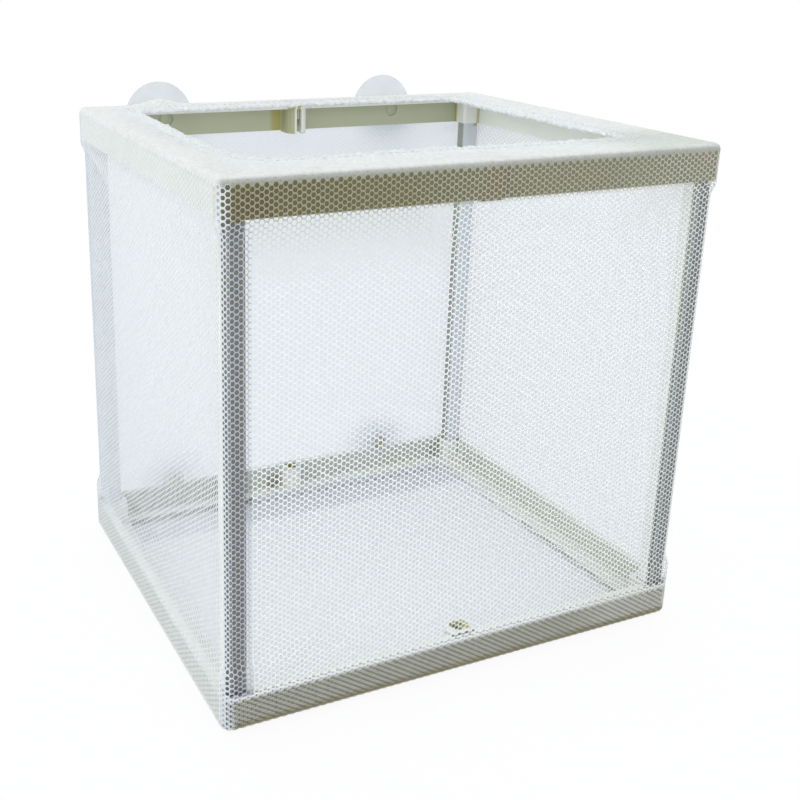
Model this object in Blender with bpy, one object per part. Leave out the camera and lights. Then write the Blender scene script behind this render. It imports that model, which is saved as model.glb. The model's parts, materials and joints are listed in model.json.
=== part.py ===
"""Fry breeding net: a knock-down plastic frame inside a fine net bag, hung by four suction cups.

Frame: +Z up, -Y the front, +Y the glass side with the cups, +X right.
The origin is the middle of the base, on the underside of the net floor. Lengths are in metres.
"""
import math

import bmesh
import bpy
from mathutils import Matrix, Vector

# Driving sizes of the assembled frame
FRAME_WIDTH = 0.1500
FRAME_DEPTH = 0.1300
FRAME_HEIGHT = 0.1484
CLEARANCE = 0.0003
OVERRUN = 0.0020
MERGE_DISTANCE = 0.00001

# Ring moulding: an L section with its flange at the outer end of the frame
RING_HEIGHT = 0.0100
RING_WALL = 0.0026
FLANGE_WIDTH = 0.0090
FLANGE_THICKNESS = 0.0020
FLANGE_CORNER_RADIUS = 0.0020
RING_CORNER_RADIUS = 0.0030
RING_END_ROUND = 0.0010
RING_INNER_ROUND = 0.0004

# Corner posts and the sockets that hold them
POST_SIZE = 0.0060
POST_EDGE_CHAMFER = 0.0011
POST_LEAD_IN = 0.0008
SOCKET_SKIN = 0.0010
SOCKET_INNER_WALL = 0.0014

# Joint between the two halves of a ring: a bored boss over a peg on a tongue
BOSS_RADIUS = 0.0037
BOSS_MIDDLE_X = -0.0006
BOSS_INSET = 0.0051
BOSS_RISE = 0.0006
BORE_RADIUS = 0.0021
SLOT_WIDTH = 0.0018
PEG_HEIGHT = 0.0040
TONGUE_HALF_WIDTH = 0.0026
TONGUE_SKIN = 0.0002

# Suction cup, measured along its axis from the rear face of the rail
CUP_SPACING_SHARE = 0.568
CUP_SHIFT_SHARE = -0.025
LOW_CUP_RISE = 0.0123
TOP_CUP_DROP = 0.0045
CUP_EAR_RADIUS = 0.0037
CUP_EAR_SKIN = 0.0002
CUP_NECK_RADIUS = 0.0014
CUP_SEAT_DEPTH = 0.0013
CUP_HEAD_RADIUS = 0.0021
CUP_HEAD_LENGTH = 0.0010
CUP_BACK_RADIUS = 0.0040
CUP_BACK_LENGTH = 0.0009
CUP_LIP_RADIUS = 0.0110
CUP_LIP_WIDTH = 0.0011
CUP_LIP_THICKNESS = 0.0007
CUP_LENGTH = 0.0058
CUP_HOLLOW_DEPTH = 0.0032
CUP_DOME_SHARE = 0.7
CUP_FLARE_POWER = 1.5

# Net bag
NET_THICKNESS = 0.0005
NET_RIB = 0.0024
NET_BORDER = 0.0034
EYELET_RIM = 0.0030

# Hem round the mouth: how far it reaches in from the outside of the bag on each side
HEM_REACH_FRONT = 0.0212
HEM_REACH_REAR = 0.0134
HEM_REACH_LEFT = 0.0158
HEM_REACH_RIGHT = 0.0192
HEM_MOUTH_RADIUS = 0.0110
HEM_FOLD_WIDTH = 0.0030
HEM_PUCKER = 0.0003
ELASTIC_RADIUS = 0.0007

# Counts
CORNER_STEPS = 4
CUP_STEPS = 28
HEM_CORNER_STEPS = 5
HEM_STEPS_ALONG = 13
HEM_STEPS_ACROSS = 11
WALL_COLUMNS = 8
WALL_ROWS = 7
SIDE_COLUMNS = 7
SIDE_ROWS = 6
FLOOR_COLUMNS = 9
FLOOR_ROWS = 6

# Places worked out from the sizes above
HALF_WIDTH = FRAME_WIDTH / 2
HALF_DEPTH = FRAME_DEPTH / 2
NET_GAP = CLEARANCE + NET_THICKNESS
BASE_Z = NET_GAP
TOP_Z = BASE_Z + FRAME_HEIGHT
POST_INSET = SOCKET_SKIN + CLEARANCE
SOCKET_BLOCK = POST_INSET + POST_SIZE + CLEARANCE + SOCKET_INNER_WALL
HALF_SEAM_X = BOSS_MIDDLE_X + BOSS_RADIUS
SIDES = (-1, 1)


def clear_scene():
    """Remove whatever the scene holds."""
    for thing in list(bpy.data.objects):
        bpy.data.objects.remove(thing, do_unlink=True)


def make_material(name, colour, roughness, alpha=1.0):
    """One Principled BSDF with a colour, a roughness and an alpha."""
    material = bpy.data.materials.new(name)
    material.use_nodes = True
    shader = material.node_tree.nodes["Principled BSDF"]
    shader.inputs["Base Color"].default_value = (*colour, 1.0)
    shader.inputs["Roughness"].default_value = roughness
    shader.inputs["Metallic"].default_value = 0.0
    shader.inputs["Alpha"].default_value = alpha
    material.diffuse_color = (*colour, alpha)
    return material


def add_object(name, mesh):
    """Link a mesh to the scene under a name."""
    thing = bpy.data.objects.new(name, mesh)
    bpy.context.scene.collection.objects.link(thing)
    return thing


def object_from_bmesh(name, shape):
    """Turn a bmesh into an object with its faces outward."""
    bmesh.ops.recalc_face_normals(shape, faces=shape.faces)
    mesh = bpy.data.meshes.new(name)
    shape.to_mesh(mesh)
    shape.free()
    return add_object(name, mesh)


def prism(name, outline, low, high):
    """A plan outline raised from one height to another."""
    shape = bmesh.new()
    corners = [shape.verts.new((x, y, low)) for x, y in outline]
    face = shape.faces.new(corners)
    raised = bmesh.ops.extrude_face_region(shape, geom=[face])
    moved = [item for item in raised["geom"] if isinstance(item, bmesh.types.BMVert)]
    bmesh.ops.translate(shape, verts=moved, vec=(0, 0, high - low))
    return object_from_bmesh(name, shape)


def cuboid(name, low, high):
    """A box between two corners."""
    outline = [(low[0], low[1]), (high[0], low[1]), (high[0], high[1]), (low[0], high[1])]
    return prism(name, outline, low[2], high[2])


def turned(name, profile, steps):
    """A profile of (radius, height) points turned about Z, closed at its two ends."""
    shape = bmesh.new()
    points = [shape.verts.new((radius, 0, height)) for radius, height in profile]
    edges = [shape.edges.new(pair) for pair in zip(points, points[1:])]
    bmesh.ops.spin(shape, geom=points + edges, cent=(0, 0, 0), axis=(0, 0, 1), dvec=(0, 0, 0),
                   angle=math.tau, steps=steps, use_merge=True)
    bmesh.ops.remove_doubles(shape, verts=shape.verts, dist=MERGE_DISTANCE)
    return object_from_bmesh(name, shape)


def arc(centre, radius, start, end, steps):
    """Points on an arc, both ends among them. Angles are in quarter turns."""
    points = []
    for step in range(steps + 1):
        angle = math.radians(90) * (start + (end - start) * step / steps)
        points.append((centre[0] + radius * math.cos(angle), centre[1] + radius * math.sin(angle)))
    return points


def round_rectangle(low, high, radius, steps=CORNER_STEPS):
    """A rectangle with round corners, anticlockwise from its lower left corner."""
    outline = []
    outline += arc((low[0] + radius, low[1] + radius), radius, 2, 3, steps)
    outline += arc((high[0] - radius, low[1] + radius), radius, 3, 4, steps)
    outline += arc((high[0] - radius, high[1] - radius), radius, 0, 1, steps)
    outline += arc((low[0] + radius, high[1] - radius), radius, 1, 2, steps)
    return outline


def grown_rectangle(margin):
    """Low and high corners of the frame's plan, grown by a margin."""
    return (-HALF_WIDTH - margin, -HALF_DEPTH - margin), (HALF_WIDTH + margin, HALF_DEPTH + margin)


def bevel_edges(thing, chosen, width, segments):
    """Bevel the edges of a mesh that a test picks."""
    shape = bmesh.new()
    shape.from_mesh(thing.data)
    edges = [edge for edge in shape.edges if chosen(edge)]
    bmesh.ops.bevel(shape, geom=edges, offset=width, offset_type="OFFSET", segments=segments,
                    profile=0.5, affect="EDGES", clamp_overlap=True)
    shape.to_mesh(thing.data)
    shape.free()


def combine(thing, tool, operation):
    """Cut with or join to another solid, which is left out of the model."""
    modifier = thing.modifiers.new(tool.name, "BOOLEAN")
    modifier.operation = operation
    modifier.solver = "EXACT"
    modifier.object = tool
    tool.hide_render = True
    tool.display_type = "WIRE"


def settle(thing):
    """Apply an object's modifiers and remove the solids that they used."""
    tools = [modifier.object for modifier in thing.modifiers]
    state = bpy.context.evaluated_depsgraph_get()
    mesh = bpy.data.meshes.new_from_object(thing.evaluated_get(state), depsgraph=state)
    thing.modifiers.clear()
    thing.data = mesh
    for tool in tools:
        bpy.data.objects.remove(tool, do_unlink=True)


def finish(thing, material, smooth_angle):
    """Give an object its material and its shading."""
    thing.data.materials.clear()
    thing.data.materials.append(material)
    thing.data.shade_smooth()
    thing.data.set_sharp_from_angle(angle=math.radians(smooth_angle))


def ring_inner_outline():
    """Plan of the space inside a ring's wall, stepping round the four socket blocks."""
    outline = []
    wall = (HALF_WIDTH - RING_WALL, HALF_DEPTH - RING_WALL)
    block = (HALF_WIDTH - SOCKET_BLOCK, HALF_DEPTH - SOCKET_BLOCK)
    nose = RING_INNER_ROUND * 2
    for turn, (side_x, side_y) in enumerate(((1, 1), (-1, 1), (-1, -1), (1, -1))):
        corner = [(wall[0], block[1]), (block[0] + nose, block[1]),
                  (block[0], block[1] + nose), (block[0], wall[1])]
        if turn % 2:
            corner.reverse()
        outline += [(x * side_x, y * side_y) for x, y in corner]
    return outline


def ring_blank(name):
    """The whole ring before it is split: an L section with socket blocks, flange down."""
    low, high = grown_rectangle(0)
    ring = prism(name, round_rectangle(low, high, RING_CORNER_RADIUS), 0, RING_HEIGHT)
    bevel_edges(ring, lambda edge: all(vert.co.z < CLEARANCE for vert in edge.verts), RING_END_ROUND, 2)
    bevel_edges(ring, lambda edge: all(vert.co.z > RING_HEIGHT - CLEARANCE for vert in edge.verts),
                RING_INNER_ROUND, 1)
    inside = prism(name + "_inside", ring_inner_outline(), FLANGE_THICKNESS, RING_HEIGHT + OVERRUN)
    combine(ring, inside, "DIFFERENCE")
    low, high = grown_rectangle(-FLANGE_WIDTH)
    window = round_rectangle(low, high, FLANGE_CORNER_RADIUS, 3)
    combine(ring, prism(name + "_window", window, -OVERRUN, RING_HEIGHT + OVERRUN), "DIFFERENCE")
    return ring


def post_outline(margin, centre):
    """Square section of a post with its edges cut off, grown by a margin."""
    half = POST_SIZE / 2 + margin
    cut = POST_EDGE_CHAMFER
    corner = [(half, -half + cut), (half, half - cut), (half - cut, half), (-half + cut, half),
              (-half, half - cut), (-half, -half + cut), (-half + cut, -half), (half - cut, -half)]
    return [(x + centre[0], y + centre[1]) for x, y in corner]


def post_centre(side_x, side_y):
    """Middle of a corner post in plan."""
    offset = POST_INSET + POST_SIZE / 2
    return side_x * (HALF_WIDTH - offset), side_y * (HALF_DEPTH - offset)


def boss_place(side_y):
    """Middle of a joint boss in plan."""
    return BOSS_MIDDLE_X, side_y * (HALF_DEPTH - BOSS_INSET)


def boss_outline(side_y):
    """Plan of a boss: a half round nose on a straight root that runs into the rail's wall."""
    x, y = boss_place(side_y)
    root = side_y * (HALF_DEPTH - RING_WALL / 2)
    nose = arc((x, y), BOSS_RADIUS, 2, 4, 2 * CORNER_STEPS)
    if side_y < 0:
        nose = arc((x, y), BOSS_RADIUS, 2, 0, 2 * CORNER_STEPS)
    return [(x - BOSS_RADIUS, root)] + nose + [(x + BOSS_RADIUS, root)]


def tongue_outline(side_y, margin):
    """Plan of the tongue that carries the peg, from inside the right half to round its peg."""
    x, y = boss_place(side_y)
    half = TONGUE_HALF_WIDTH + margin
    root = HALF_SEAM_X + 2 * OVERRUN - margin
    return arc((x, y), half, 1, 3, 2 * CORNER_STEPS) + [(root, y - half), (root, y + half)]


def cut_sockets(half, side_x):
    """Cut the two post sockets of a half ring, down to the flange."""
    for side_y in SIDES:
        outline = post_outline(CLEARANCE, post_centre(side_x, side_y))
        socket = prism("socket", outline, FLANGE_THICKNESS, RING_HEIGHT + OVERRUN)
        combine(half, socket, "DIFFERENCE")


def cup_x(side_x):
    """Where a cup's axis crosses the frame's width: the pair sits a little left of the middle."""
    return FRAME_WIDTH * (CUP_SHIFT_SHARE + side_x * CUP_SPACING_SHARE / 2)


def lay_on_rear_rail(thing, side_x, height):
    """Turn a solid made round Z so that Z points out of the rear rail at a cup's place."""
    place = Matrix.Translation((cup_x(side_x), HALF_DEPTH, height))
    thing.data.transform(place @ Matrix.Rotation(math.radians(-90), 4, "X"))


def add_cup_seat(half, side_x, at_top):
    """Make the hole that a cup's neck passes through, and the seat its head lies in, flush.

    A low cup sits on an ear above the base rail, so that its lip clears the floor. A top cup
    sits in the rail itself, below its flange.
    """
    height = TOP_CUP_DROP if at_top else LOW_CUP_RISE
    if not at_top:
        root = height - FLANGE_THICKNESS
        outline = arc((0, 0), CUP_EAR_RADIUS, 2, 4, 2 * CORNER_STEPS)
        outline = [(-CUP_EAR_RADIUS, root)] + outline + [(CUP_EAR_RADIUS, root)]
        ear = prism("ear", outline, CUP_EAR_SKIN - RING_WALL, -CUP_EAR_SKIN)
        lay_on_rear_rail(ear, side_x, height)
        combine(half, ear, "UNION")
    outline = arc((0, 0), CUP_NECK_RADIUS + CLEARANCE, 0, 4, 4 * CORNER_STEPS)[:-1]
    hole = prism("stem_hole", outline, -RING_WALL - OVERRUN, OVERRUN)
    lay_on_rear_rail(hole, side_x, height)
    combine(half, hole, "DIFFERENCE")
    outline = arc((0, 0), CUP_HEAD_RADIUS + CLEARANCE, 0, 4, 4 * CORNER_STEPS)[:-1]
    seat = prism("head_seat", outline, -RING_WALL - OVERRUN, CUP_SEAT_DEPTH - RING_WALL)
    lay_on_rear_rail(seat, side_x, height)
    combine(half, seat, "DIFFERENCE")


def add_bosses(half, slotted):
    """Left half: a bored boss at the front and the rear, with a pocket under it for the tongue."""
    for side_y in SIDES:
        boss = prism("boss", boss_outline(side_y), FLANGE_THICKNESS / 2, RING_HEIGHT + BOSS_RISE)
        combine(half, boss, "UNION")
    for side_y in SIDES:
        x, y = boss_place(side_y)
        bore = prism("bore", arc((x, y), BORE_RADIUS, 0, 4, 4 * CORNER_STEPS)[:-1],
                     -OVERRUN, RING_HEIGHT + OVERRUN)
        combine(half, bore, "DIFFERENCE")
        pocket = prism("pocket", tongue_outline(side_y, CLEARANCE), -OVERRUN,
                       FLANGE_THICKNESS - TONGUE_SKIN + CLEARANCE)
        combine(half, pocket, "DIFFERENCE")
        if slotted:
            near = y
            far = side_y * (HALF_DEPTH - BOSS_INSET - BOSS_RADIUS - OVERRUN)
            slot = cuboid("slot", (x - SLOT_WIDTH / 2, min(near, far), FLANGE_THICKNESS + CLEARANCE),
                          (x + SLOT_WIDTH / 2, max(near, far), RING_HEIGHT + OVERRUN))
            combine(half, slot, "DIFFERENCE")


def add_tongues(half):
    """Right half: a tongue in the flange's plane at the front and the rear, each with a peg."""
    for side_y in SIDES:
        tongue = prism("tongue", tongue_outline(side_y, 0), TONGUE_SKIN, FLANGE_THICKNESS - TONGUE_SKIN)
        combine(half, tongue, "UNION")
    for side_y in SIDES:
        radius = BORE_RADIUS - CLEARANCE
        outline = arc(boss_place(side_y), radius, 0, 4, 4 * CORNER_STEPS)[:-1]
        peg = prism("peg", outline, FLANGE_THICKNESS / 2, FLANGE_THICKNESS + PEG_HEIGHT)
        bevel_edges(peg, lambda edge: all(vert.co.z > FLANGE_THICKNESS for vert in edge.verts),
                    RING_INNER_ROUND, 1)
        combine(half, peg, "UNION")


def make_ring_half(name, side_x, at_top, material):
    """Half of a ring. The top ring is the base ring's mirror image, flange up."""
    half = ring_blank(name)
    far = HALF_WIDTH + OVERRUN
    reach = HALF_DEPTH + OVERRUN
    if side_x < 0:
        low, high = (HALF_SEAM_X, -reach, -OVERRUN), (far, reach, RING_HEIGHT + OVERRUN)
    else:
        low, high = (-far, -reach, -OVERRUN), (HALF_SEAM_X + CLEARANCE, reach, RING_HEIGHT + OVERRUN)
    combine(half, cuboid("other_half", low, high), "DIFFERENCE")
    cut_sockets(half, side_x)
    add_cup_seat(half, side_x, at_top)
    if side_x < 0:
        add_bosses(half, slotted=at_top)
    else:
        add_tongues(half)
    settle(half)
    if at_top:
        half.data.transform(Matrix.Translation((0, 0, TOP_Z)) @ Matrix.Scale(-1, 4, (0, 0, 1)))
        half.data.flip_normals()
    else:
        half.data.transform(Matrix.Translation((0, 0, BASE_Z)))
    finish(half, material, 40)


def make_post(name, side_x, side_y, material):
    """A corner post, standing in a socket of each ring with its ends eased."""
    seat = FLANGE_THICKNESS + CLEARANCE
    low, high = BASE_Z + seat, TOP_Z - seat
    post = prism(name, post_outline(0, (0, 0)), low, high)
    bevel_edges(post, lambda edge: abs(edge.verts[0].co.z - edge.verts[1].co.z) < CLEARANCE,
                POST_LEAD_IN, 1)
    post.location = (*post_centre(side_x, side_y), 0)
    finish(post, material, 20)


def cup_profile():
    """Half section of a cup as (radius, distance behind the rail), from its head to its hollow."""
    head_end = CUP_SEAT_DEPTH - RING_WALL - CLEARANCE
    back = NET_GAP + CLEARANCE
    tip = head_end - CUP_HEAD_LENGTH
    root = back + CUP_BACK_LENGTH
    profile = [(0, tip)]
    for step in range(1, 4):
        angle = math.radians(30 * step)
        profile.append((CUP_HEAD_RADIUS * math.sin(angle),
                        tip + CUP_HEAD_LENGTH * CUP_DOME_SHARE * (1 - math.cos(angle))))
    profile += [(CUP_HEAD_RADIUS, head_end), (CUP_NECK_RADIUS, head_end), (CUP_NECK_RADIUS, back),
                (CUP_BACK_RADIUS, back), (CUP_BACK_RADIUS, root)]
    flare_end = CUP_LENGTH - CUP_LIP_THICKNESS
    flare_steps = 5
    for step in range(1, flare_steps + 1):
        share = step / flare_steps
        profile.append((CUP_BACK_RADIUS + (CUP_LIP_RADIUS - CUP_BACK_RADIUS) * share,
                        root + (flare_end - root) * share ** CUP_FLARE_POWER))
    profile += [(CUP_LIP_RADIUS, CUP_LENGTH), (CUP_LIP_RADIUS - CUP_LIP_WIDTH, CUP_LENGTH)]
    hollow_radius = CUP_LIP_RADIUS - CUP_LIP_WIDTH
    hollow_steps = 5
    for step in range(1, hollow_steps + 1):
        share = 1 - step / hollow_steps
        profile.append((hollow_radius * share, CUP_LENGTH - CUP_HOLLOW_DEPTH * (1 - share ** 2)))
    return profile


def make_cup(name, side_x, height, material):
    """A suction cup on the rear rail, its origin on its own axis at the rail's rear face."""
    cup = turned(name, cup_profile(), CUP_STEPS)
    cup.data.transform(Matrix.Rotation(math.radians(-90), 4, "X"))
    cup.location = (cup_x(side_x), HALF_DEPTH, height)
    finish(cup, material, 50)


def honeycomb(columns, rows, low, high, keep_clear=()):
    """Centres and half sizes of the gaps in a flat piece of net, and the gap's own outline.

    Columns stand side by side, every second one half a row up, as in warp-knitted net.
    """
    pitch_across = (high[0] - low[0]) / (columns + 1 / 3)
    pitch_up = (high[1] - low[1]) / rows
    cell = pitch_across * 2 / 3
    shrink = 1 - NET_RIB / pitch_up
    outline = [(cell * shrink * math.cos(math.radians(60 * step)),
                pitch_up / 2 * shrink * math.sin(math.radians(60 * step)) / math.sin(math.radians(60)))
               for step in range(6)]
    centres = []
    for column in range(columns):
        shifted = column % 2
        for row in range(rows - shifted):
            centre = (low[0] + cell + column * pitch_across,
                      low[1] + pitch_up * (row + (1 + shifted) / 2))
            reach = max(cell, pitch_up / 2) * shrink
            if all(math.dist(centre, place) > reach + room for place, room in keep_clear):
                centres.append(centre)
    return centres, outline


def gap_cutter(name, centres, outline, low, high):
    """All the gaps of one panel as prisms in one mesh, standing on the XY plane."""
    shape = bmesh.new()
    for centre in centres:
        corners = [shape.verts.new((centre[0] + x, centre[1] + y, low)) for x, y in outline]
        face = shape.faces.new(corners)
        raised = bmesh.ops.extrude_face_region(shape, geom=[face])
        moved = [item for item in raised["geom"] if isinstance(item, bmesh.types.BMVert)]
        bmesh.ops.translate(shape, verts=moved, vec=(0, 0, high - low))
    return object_from_bmesh(name, shape)


def wall_field(half_span):
    """Low and high corners of the honeycomb on a standing wall of the bag."""
    low = (-half_span + NET_BORDER, BASE_Z + NET_BORDER)
    high = (half_span - NET_BORDER, TOP_Z - NET_BORDER)
    return low, high


def cup_heights():
    """Heights of the lower and the upper cup axes."""
    return BASE_Z + LOW_CUP_RISE, TOP_Z - TOP_CUP_DROP


def make_front_or_rear_net(name, side_y, material):
    """The front or rear wall of the bag, which turns the frame's corners at both ends."""
    inner = RING_CORNER_RADIUS + CLEARANCE
    outer = inner + NET_THICKNESS
    middle = (HALF_WIDTH - RING_CORNER_RADIUS, HALF_DEPTH - RING_CORNER_RADIUS)
    outline = arc((-middle[0], middle[1]), outer, 2, 1, CORNER_STEPS)
    outline += arc(middle, outer, 1, 0, CORNER_STEPS)
    outline += arc(middle, inner, 0, 1, CORNER_STEPS)
    outline += arc((-middle[0], middle[1]), inner, 1, 2, CORNER_STEPS)
    panel = prism(name, [(x, y * side_y) for x, y in outline], BASE_Z, TOP_Z)
    eyelet = CUP_NECK_RADIUS + CLEARANCE
    places = []
    if side_y > 0:
        places = [(cup_x(side_x), height) for side_x in SIDES for height in cup_heights()]
    low, high = wall_field(middle[0])
    centres, gap = honeycomb(WALL_COLUMNS, WALL_ROWS, low, high,
                             [(place, eyelet + EYELET_RIM) for place in places])
    near = HALF_DEPTH - OVERRUN
    far = HALF_DEPTH + NET_GAP + OVERRUN
    stand = Matrix.Rotation(math.radians(90), 4, "X")
    spans = (-far, -near) if side_y > 0 else (near, far)
    cutter = gap_cutter(name + "_gaps", centres, gap, *spans)
    cutter.data.transform(stand)
    combine(panel, cutter, "DIFFERENCE")
    if places:
        ring = arc((0, 0), eyelet, 0, 4, 3 * CORNER_STEPS)[:-1]
        holes = gap_cutter(name + "_eyelets", places, ring, *spans)
        holes.data.transform(stand)
        combine(panel, holes, "DIFFERENCE")
    settle(panel)
    finish(panel, material, 30)


def make_side_net(name, side_x, material):
    """The left or right wall of the bag, flat between the turned ends of the front and rear walls."""
    half_span = HALF_DEPTH - RING_CORNER_RADIUS - CLEARANCE
    inner = HALF_WIDTH + CLEARANCE
    outer = inner + NET_THICKNESS
    low = (min(side_x * inner, side_x * outer), -half_span, BASE_Z)
    high = (max(side_x * inner, side_x * outer), half_span, TOP_Z)
    panel = cuboid(name, low, high)
    centres, gap = honeycomb(SIDE_COLUMNS, SIDE_ROWS, *wall_field(half_span))
    spans = sorted((side_x * (inner - OVERRUN), side_x * (outer + OVERRUN)))
    cutter = gap_cutter(name + "_gaps", centres, gap, *spans)
    turn = Matrix(((0, 0, 1, 0), (1, 0, 0, 0), (0, 1, 0, 0), (0, 0, 0, 1)))
    cutter.data.transform(turn)
    combine(panel, cutter, "DIFFERENCE")
    settle(panel)
    finish(panel, material, 30)


def make_floor_net(name, material):
    """The bottom of the bag, under the base ring, flat where the part stands on it."""
    low, high = grown_rectangle(NET_GAP)
    panel = prism(name, round_rectangle(low, high, RING_CORNER_RADIUS + NET_GAP), 0, NET_THICKNESS)
    inset = NET_GAP + NET_BORDER
    centres, gap = honeycomb(FLOOR_COLUMNS, FLOOR_ROWS, (low[0] + inset, low[1] + inset),
                             (high[0] - inset, high[1] - inset))
    cutter = gap_cutter(name + "_gaps", centres, gap, -OVERRUN, NET_THICKNESS + OVERRUN)
    combine(panel, cutter, "DIFFERENCE")
    settle(panel)
    finish(panel, material, 30)


def hem_stations():
    """Pairs of plan points, on the outside of the bag and on the mouth's edge, going round the mouth."""
    low, high = grown_rectangle(NET_GAP)
    mouth_low = (low[0] + HEM_REACH_LEFT, low[1] + HEM_REACH_FRONT)
    mouth_high = (high[0] - HEM_REACH_RIGHT, high[1] - HEM_REACH_REAR)
    outer = round_rectangle(low, high, RING_CORNER_RADIUS + NET_GAP, HEM_CORNER_STEPS)
    inner = round_rectangle(mouth_low, mouth_high, HEM_MOUTH_RADIUS, HEM_CORNER_STEPS)
    stations = []
    count = len(outer)
    corner = HEM_CORNER_STEPS + 1
    for index in range(count):
        stations.append((Vector(outer[index]), Vector(inner[index])))
        if index % corner == corner - 1:
            steps = HEM_STEPS_ALONG if (index // corner) % 2 == 0 else HEM_STEPS_ACROSS
            following = (index + 1) % count
            for step in range(1, steps):
                share = step / steps
                stations.append((Vector(outer[index]).lerp(Vector(outer[following]), share),
                                 Vector(inner[index]).lerp(Vector(inner[following]), share)))
    return stations


def hem_pucker(index):
    """How far the elastic draws the mouth's edge in or out at a station."""
    return HEM_PUCKER * math.cos(math.radians(90) * index)


def hem_section(reach, pucker):
    """Section of the hem as (distance in from the outside, height), anticlockwise seen from ahead.

    The band lies flat over the top ring, turns down round the elastic and back under itself.
    """
    top = TOP_Z + NET_GAP
    edge = reach + pucker
    fold = 2 * NET_THICKNESS + 2 * CLEARANCE + 2 * ELASTIC_RADIUS
    bend = NET_THICKNESS
    inner_bend = NET_THICKNESS / 2
    under = top - fold
    return [(0, top - NET_THICKNESS), (edge - HEM_FOLD_WIDTH, top - NET_THICKNESS),
            (edge - NET_THICKNESS - inner_bend, top - NET_THICKNESS),
            (edge - NET_THICKNESS, top - NET_THICKNESS - inner_bend),
            (edge - NET_THICKNESS, under + NET_THICKNESS),
            (edge - HEM_FOLD_WIDTH, under + NET_THICKNESS), (edge - HEM_FOLD_WIDTH, under),
            (edge - bend, under), (edge, under + bend), (edge, top - bend - inner_bend),
            (edge - bend - inner_bend, top), (0, top)]


def sweep(name, sections):
    """Close a ring of like sections into one solid, going round and joining the last to the first."""
    shape = bmesh.new()
    rings = [[shape.verts.new(point) for point in section] for section in sections]
    for index, ring in enumerate(rings):
        following = rings[(index + 1) % len(rings)]
        for step in range(len(ring)):
            after = (step + 1) % len(ring)
            shape.faces.new((ring[step], ring[after], following[after], following[step]))
    return object_from_bmesh(name, shape)


def make_hem(name, material):
    """The folded band round the mouth, drawn in by its elastic."""
    sections = []
    for index, (outside, inside) in enumerate(hem_stations()):
        way = inside - outside
        reach = way.length
        way.normalize()
        section = []
        for distance, height in hem_section(reach, hem_pucker(index)):
            place = outside + way * distance
            section.append((place.x, place.y, height))
        sections.append(section)
    finish(sweep(name, sections), material, 40)


def make_elastic(name, material):
    """The elastic cord that lies in the hem's fold."""
    sides = 6
    middle = TOP_Z + NET_GAP - NET_THICKNESS - CLEARANCE - ELASTIC_RADIUS
    sections = []
    for index, (outside, inside) in enumerate(hem_stations()):
        way = inside - outside
        reach = way.length + hem_pucker(index) - NET_THICKNESS - CLEARANCE - ELASTIC_RADIUS
        way.normalize()
        section = []
        for side in range(sides):
            angle = math.tau * (side + 0.5) / sides
            place = outside + way * (reach + ELASTIC_RADIUS * math.cos(angle))
            section.append((place.x, place.y, middle + ELASTIC_RADIUS * math.sin(angle)))
        sections.append(section)
    finish(sweep(name, sections), material, 60)


def main():
    clear_scene()
    plastic = make_material("ivory_plastic", (0.80, 0.79, 0.68), 0.42)
    soft = make_material("clear_soft_plastic", (0.86, 0.89, 0.91), 0.22, alpha=0.55)
    netting = make_material("white_netting", (0.93, 0.94, 0.95), 0.75)
    elastic = make_material("white_elastic", (0.92, 0.92, 0.92), 0.85)

    make_ring_half("base_ring_left", -1, False, plastic)
    make_ring_half("base_ring_right", 1, False, plastic)
    make_ring_half("top_ring_left", -1, True, plastic)
    make_ring_half("top_ring_right", 1, True, plastic)
    for row, side_y in (("front", -1), ("rear", 1)):
        for side, side_x in (("left", -1), ("right", 1)):
            make_post("post_%s_%s" % (row, side), side_x, side_y, plastic)
    for level, height in zip(("low", "top"), cup_heights()):
        for side, side_x in (("left", -1), ("right", 1)):
            make_cup("cup_%s_%s" % (level, side), side_x, height, soft)
    make_front_or_rear_net("net_front", -1, netting)
    make_front_or_rear_net("net_rear", 1, netting)
    make_side_net("net_left", -1, netting)
    make_side_net("net_right", 1, netting)
    make_floor_net("net_floor", netting)
    make_hem("mouth_hem", netting)
    make_elastic("hem_elastic", elastic)


main()
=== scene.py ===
"""Looks of a fry breeding net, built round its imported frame: net bag, hem, elastic, cups and stage.

Laid out as an add-on and run as a script. Lengths are in metres, in the part's own frame:
+Z up, -Y the front, +Y the glass side with the suction cups, +X right.
"""
import json
import math

import bpy
import numpy as np
from mathutils import Matrix, Vector


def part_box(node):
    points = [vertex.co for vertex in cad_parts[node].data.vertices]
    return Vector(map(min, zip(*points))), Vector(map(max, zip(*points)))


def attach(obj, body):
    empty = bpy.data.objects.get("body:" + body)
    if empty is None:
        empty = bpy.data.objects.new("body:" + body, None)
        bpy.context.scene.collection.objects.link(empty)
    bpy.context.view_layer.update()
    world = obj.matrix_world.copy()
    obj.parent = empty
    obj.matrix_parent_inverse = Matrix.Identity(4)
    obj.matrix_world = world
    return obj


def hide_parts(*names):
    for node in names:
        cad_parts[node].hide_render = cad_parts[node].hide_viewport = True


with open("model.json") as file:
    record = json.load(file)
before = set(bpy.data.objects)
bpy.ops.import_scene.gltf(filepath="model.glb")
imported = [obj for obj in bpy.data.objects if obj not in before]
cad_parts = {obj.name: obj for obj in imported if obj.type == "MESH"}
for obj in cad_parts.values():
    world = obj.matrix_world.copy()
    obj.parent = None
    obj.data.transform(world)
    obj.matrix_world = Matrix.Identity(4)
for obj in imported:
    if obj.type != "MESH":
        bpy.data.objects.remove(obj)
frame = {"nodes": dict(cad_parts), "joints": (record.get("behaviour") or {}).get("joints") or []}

bl_info = {
    "name": "Fry breeding net",
    "version": (1, 0, 0),
    "blender": (4, 5, 0),
    "location": "View3D > Sidebar > Breeding net",
    "description": "Net bag, hem, elastic, suction cups and stage for a knock-down breeding net",
    "category": "Add Mesh",
}

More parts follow.
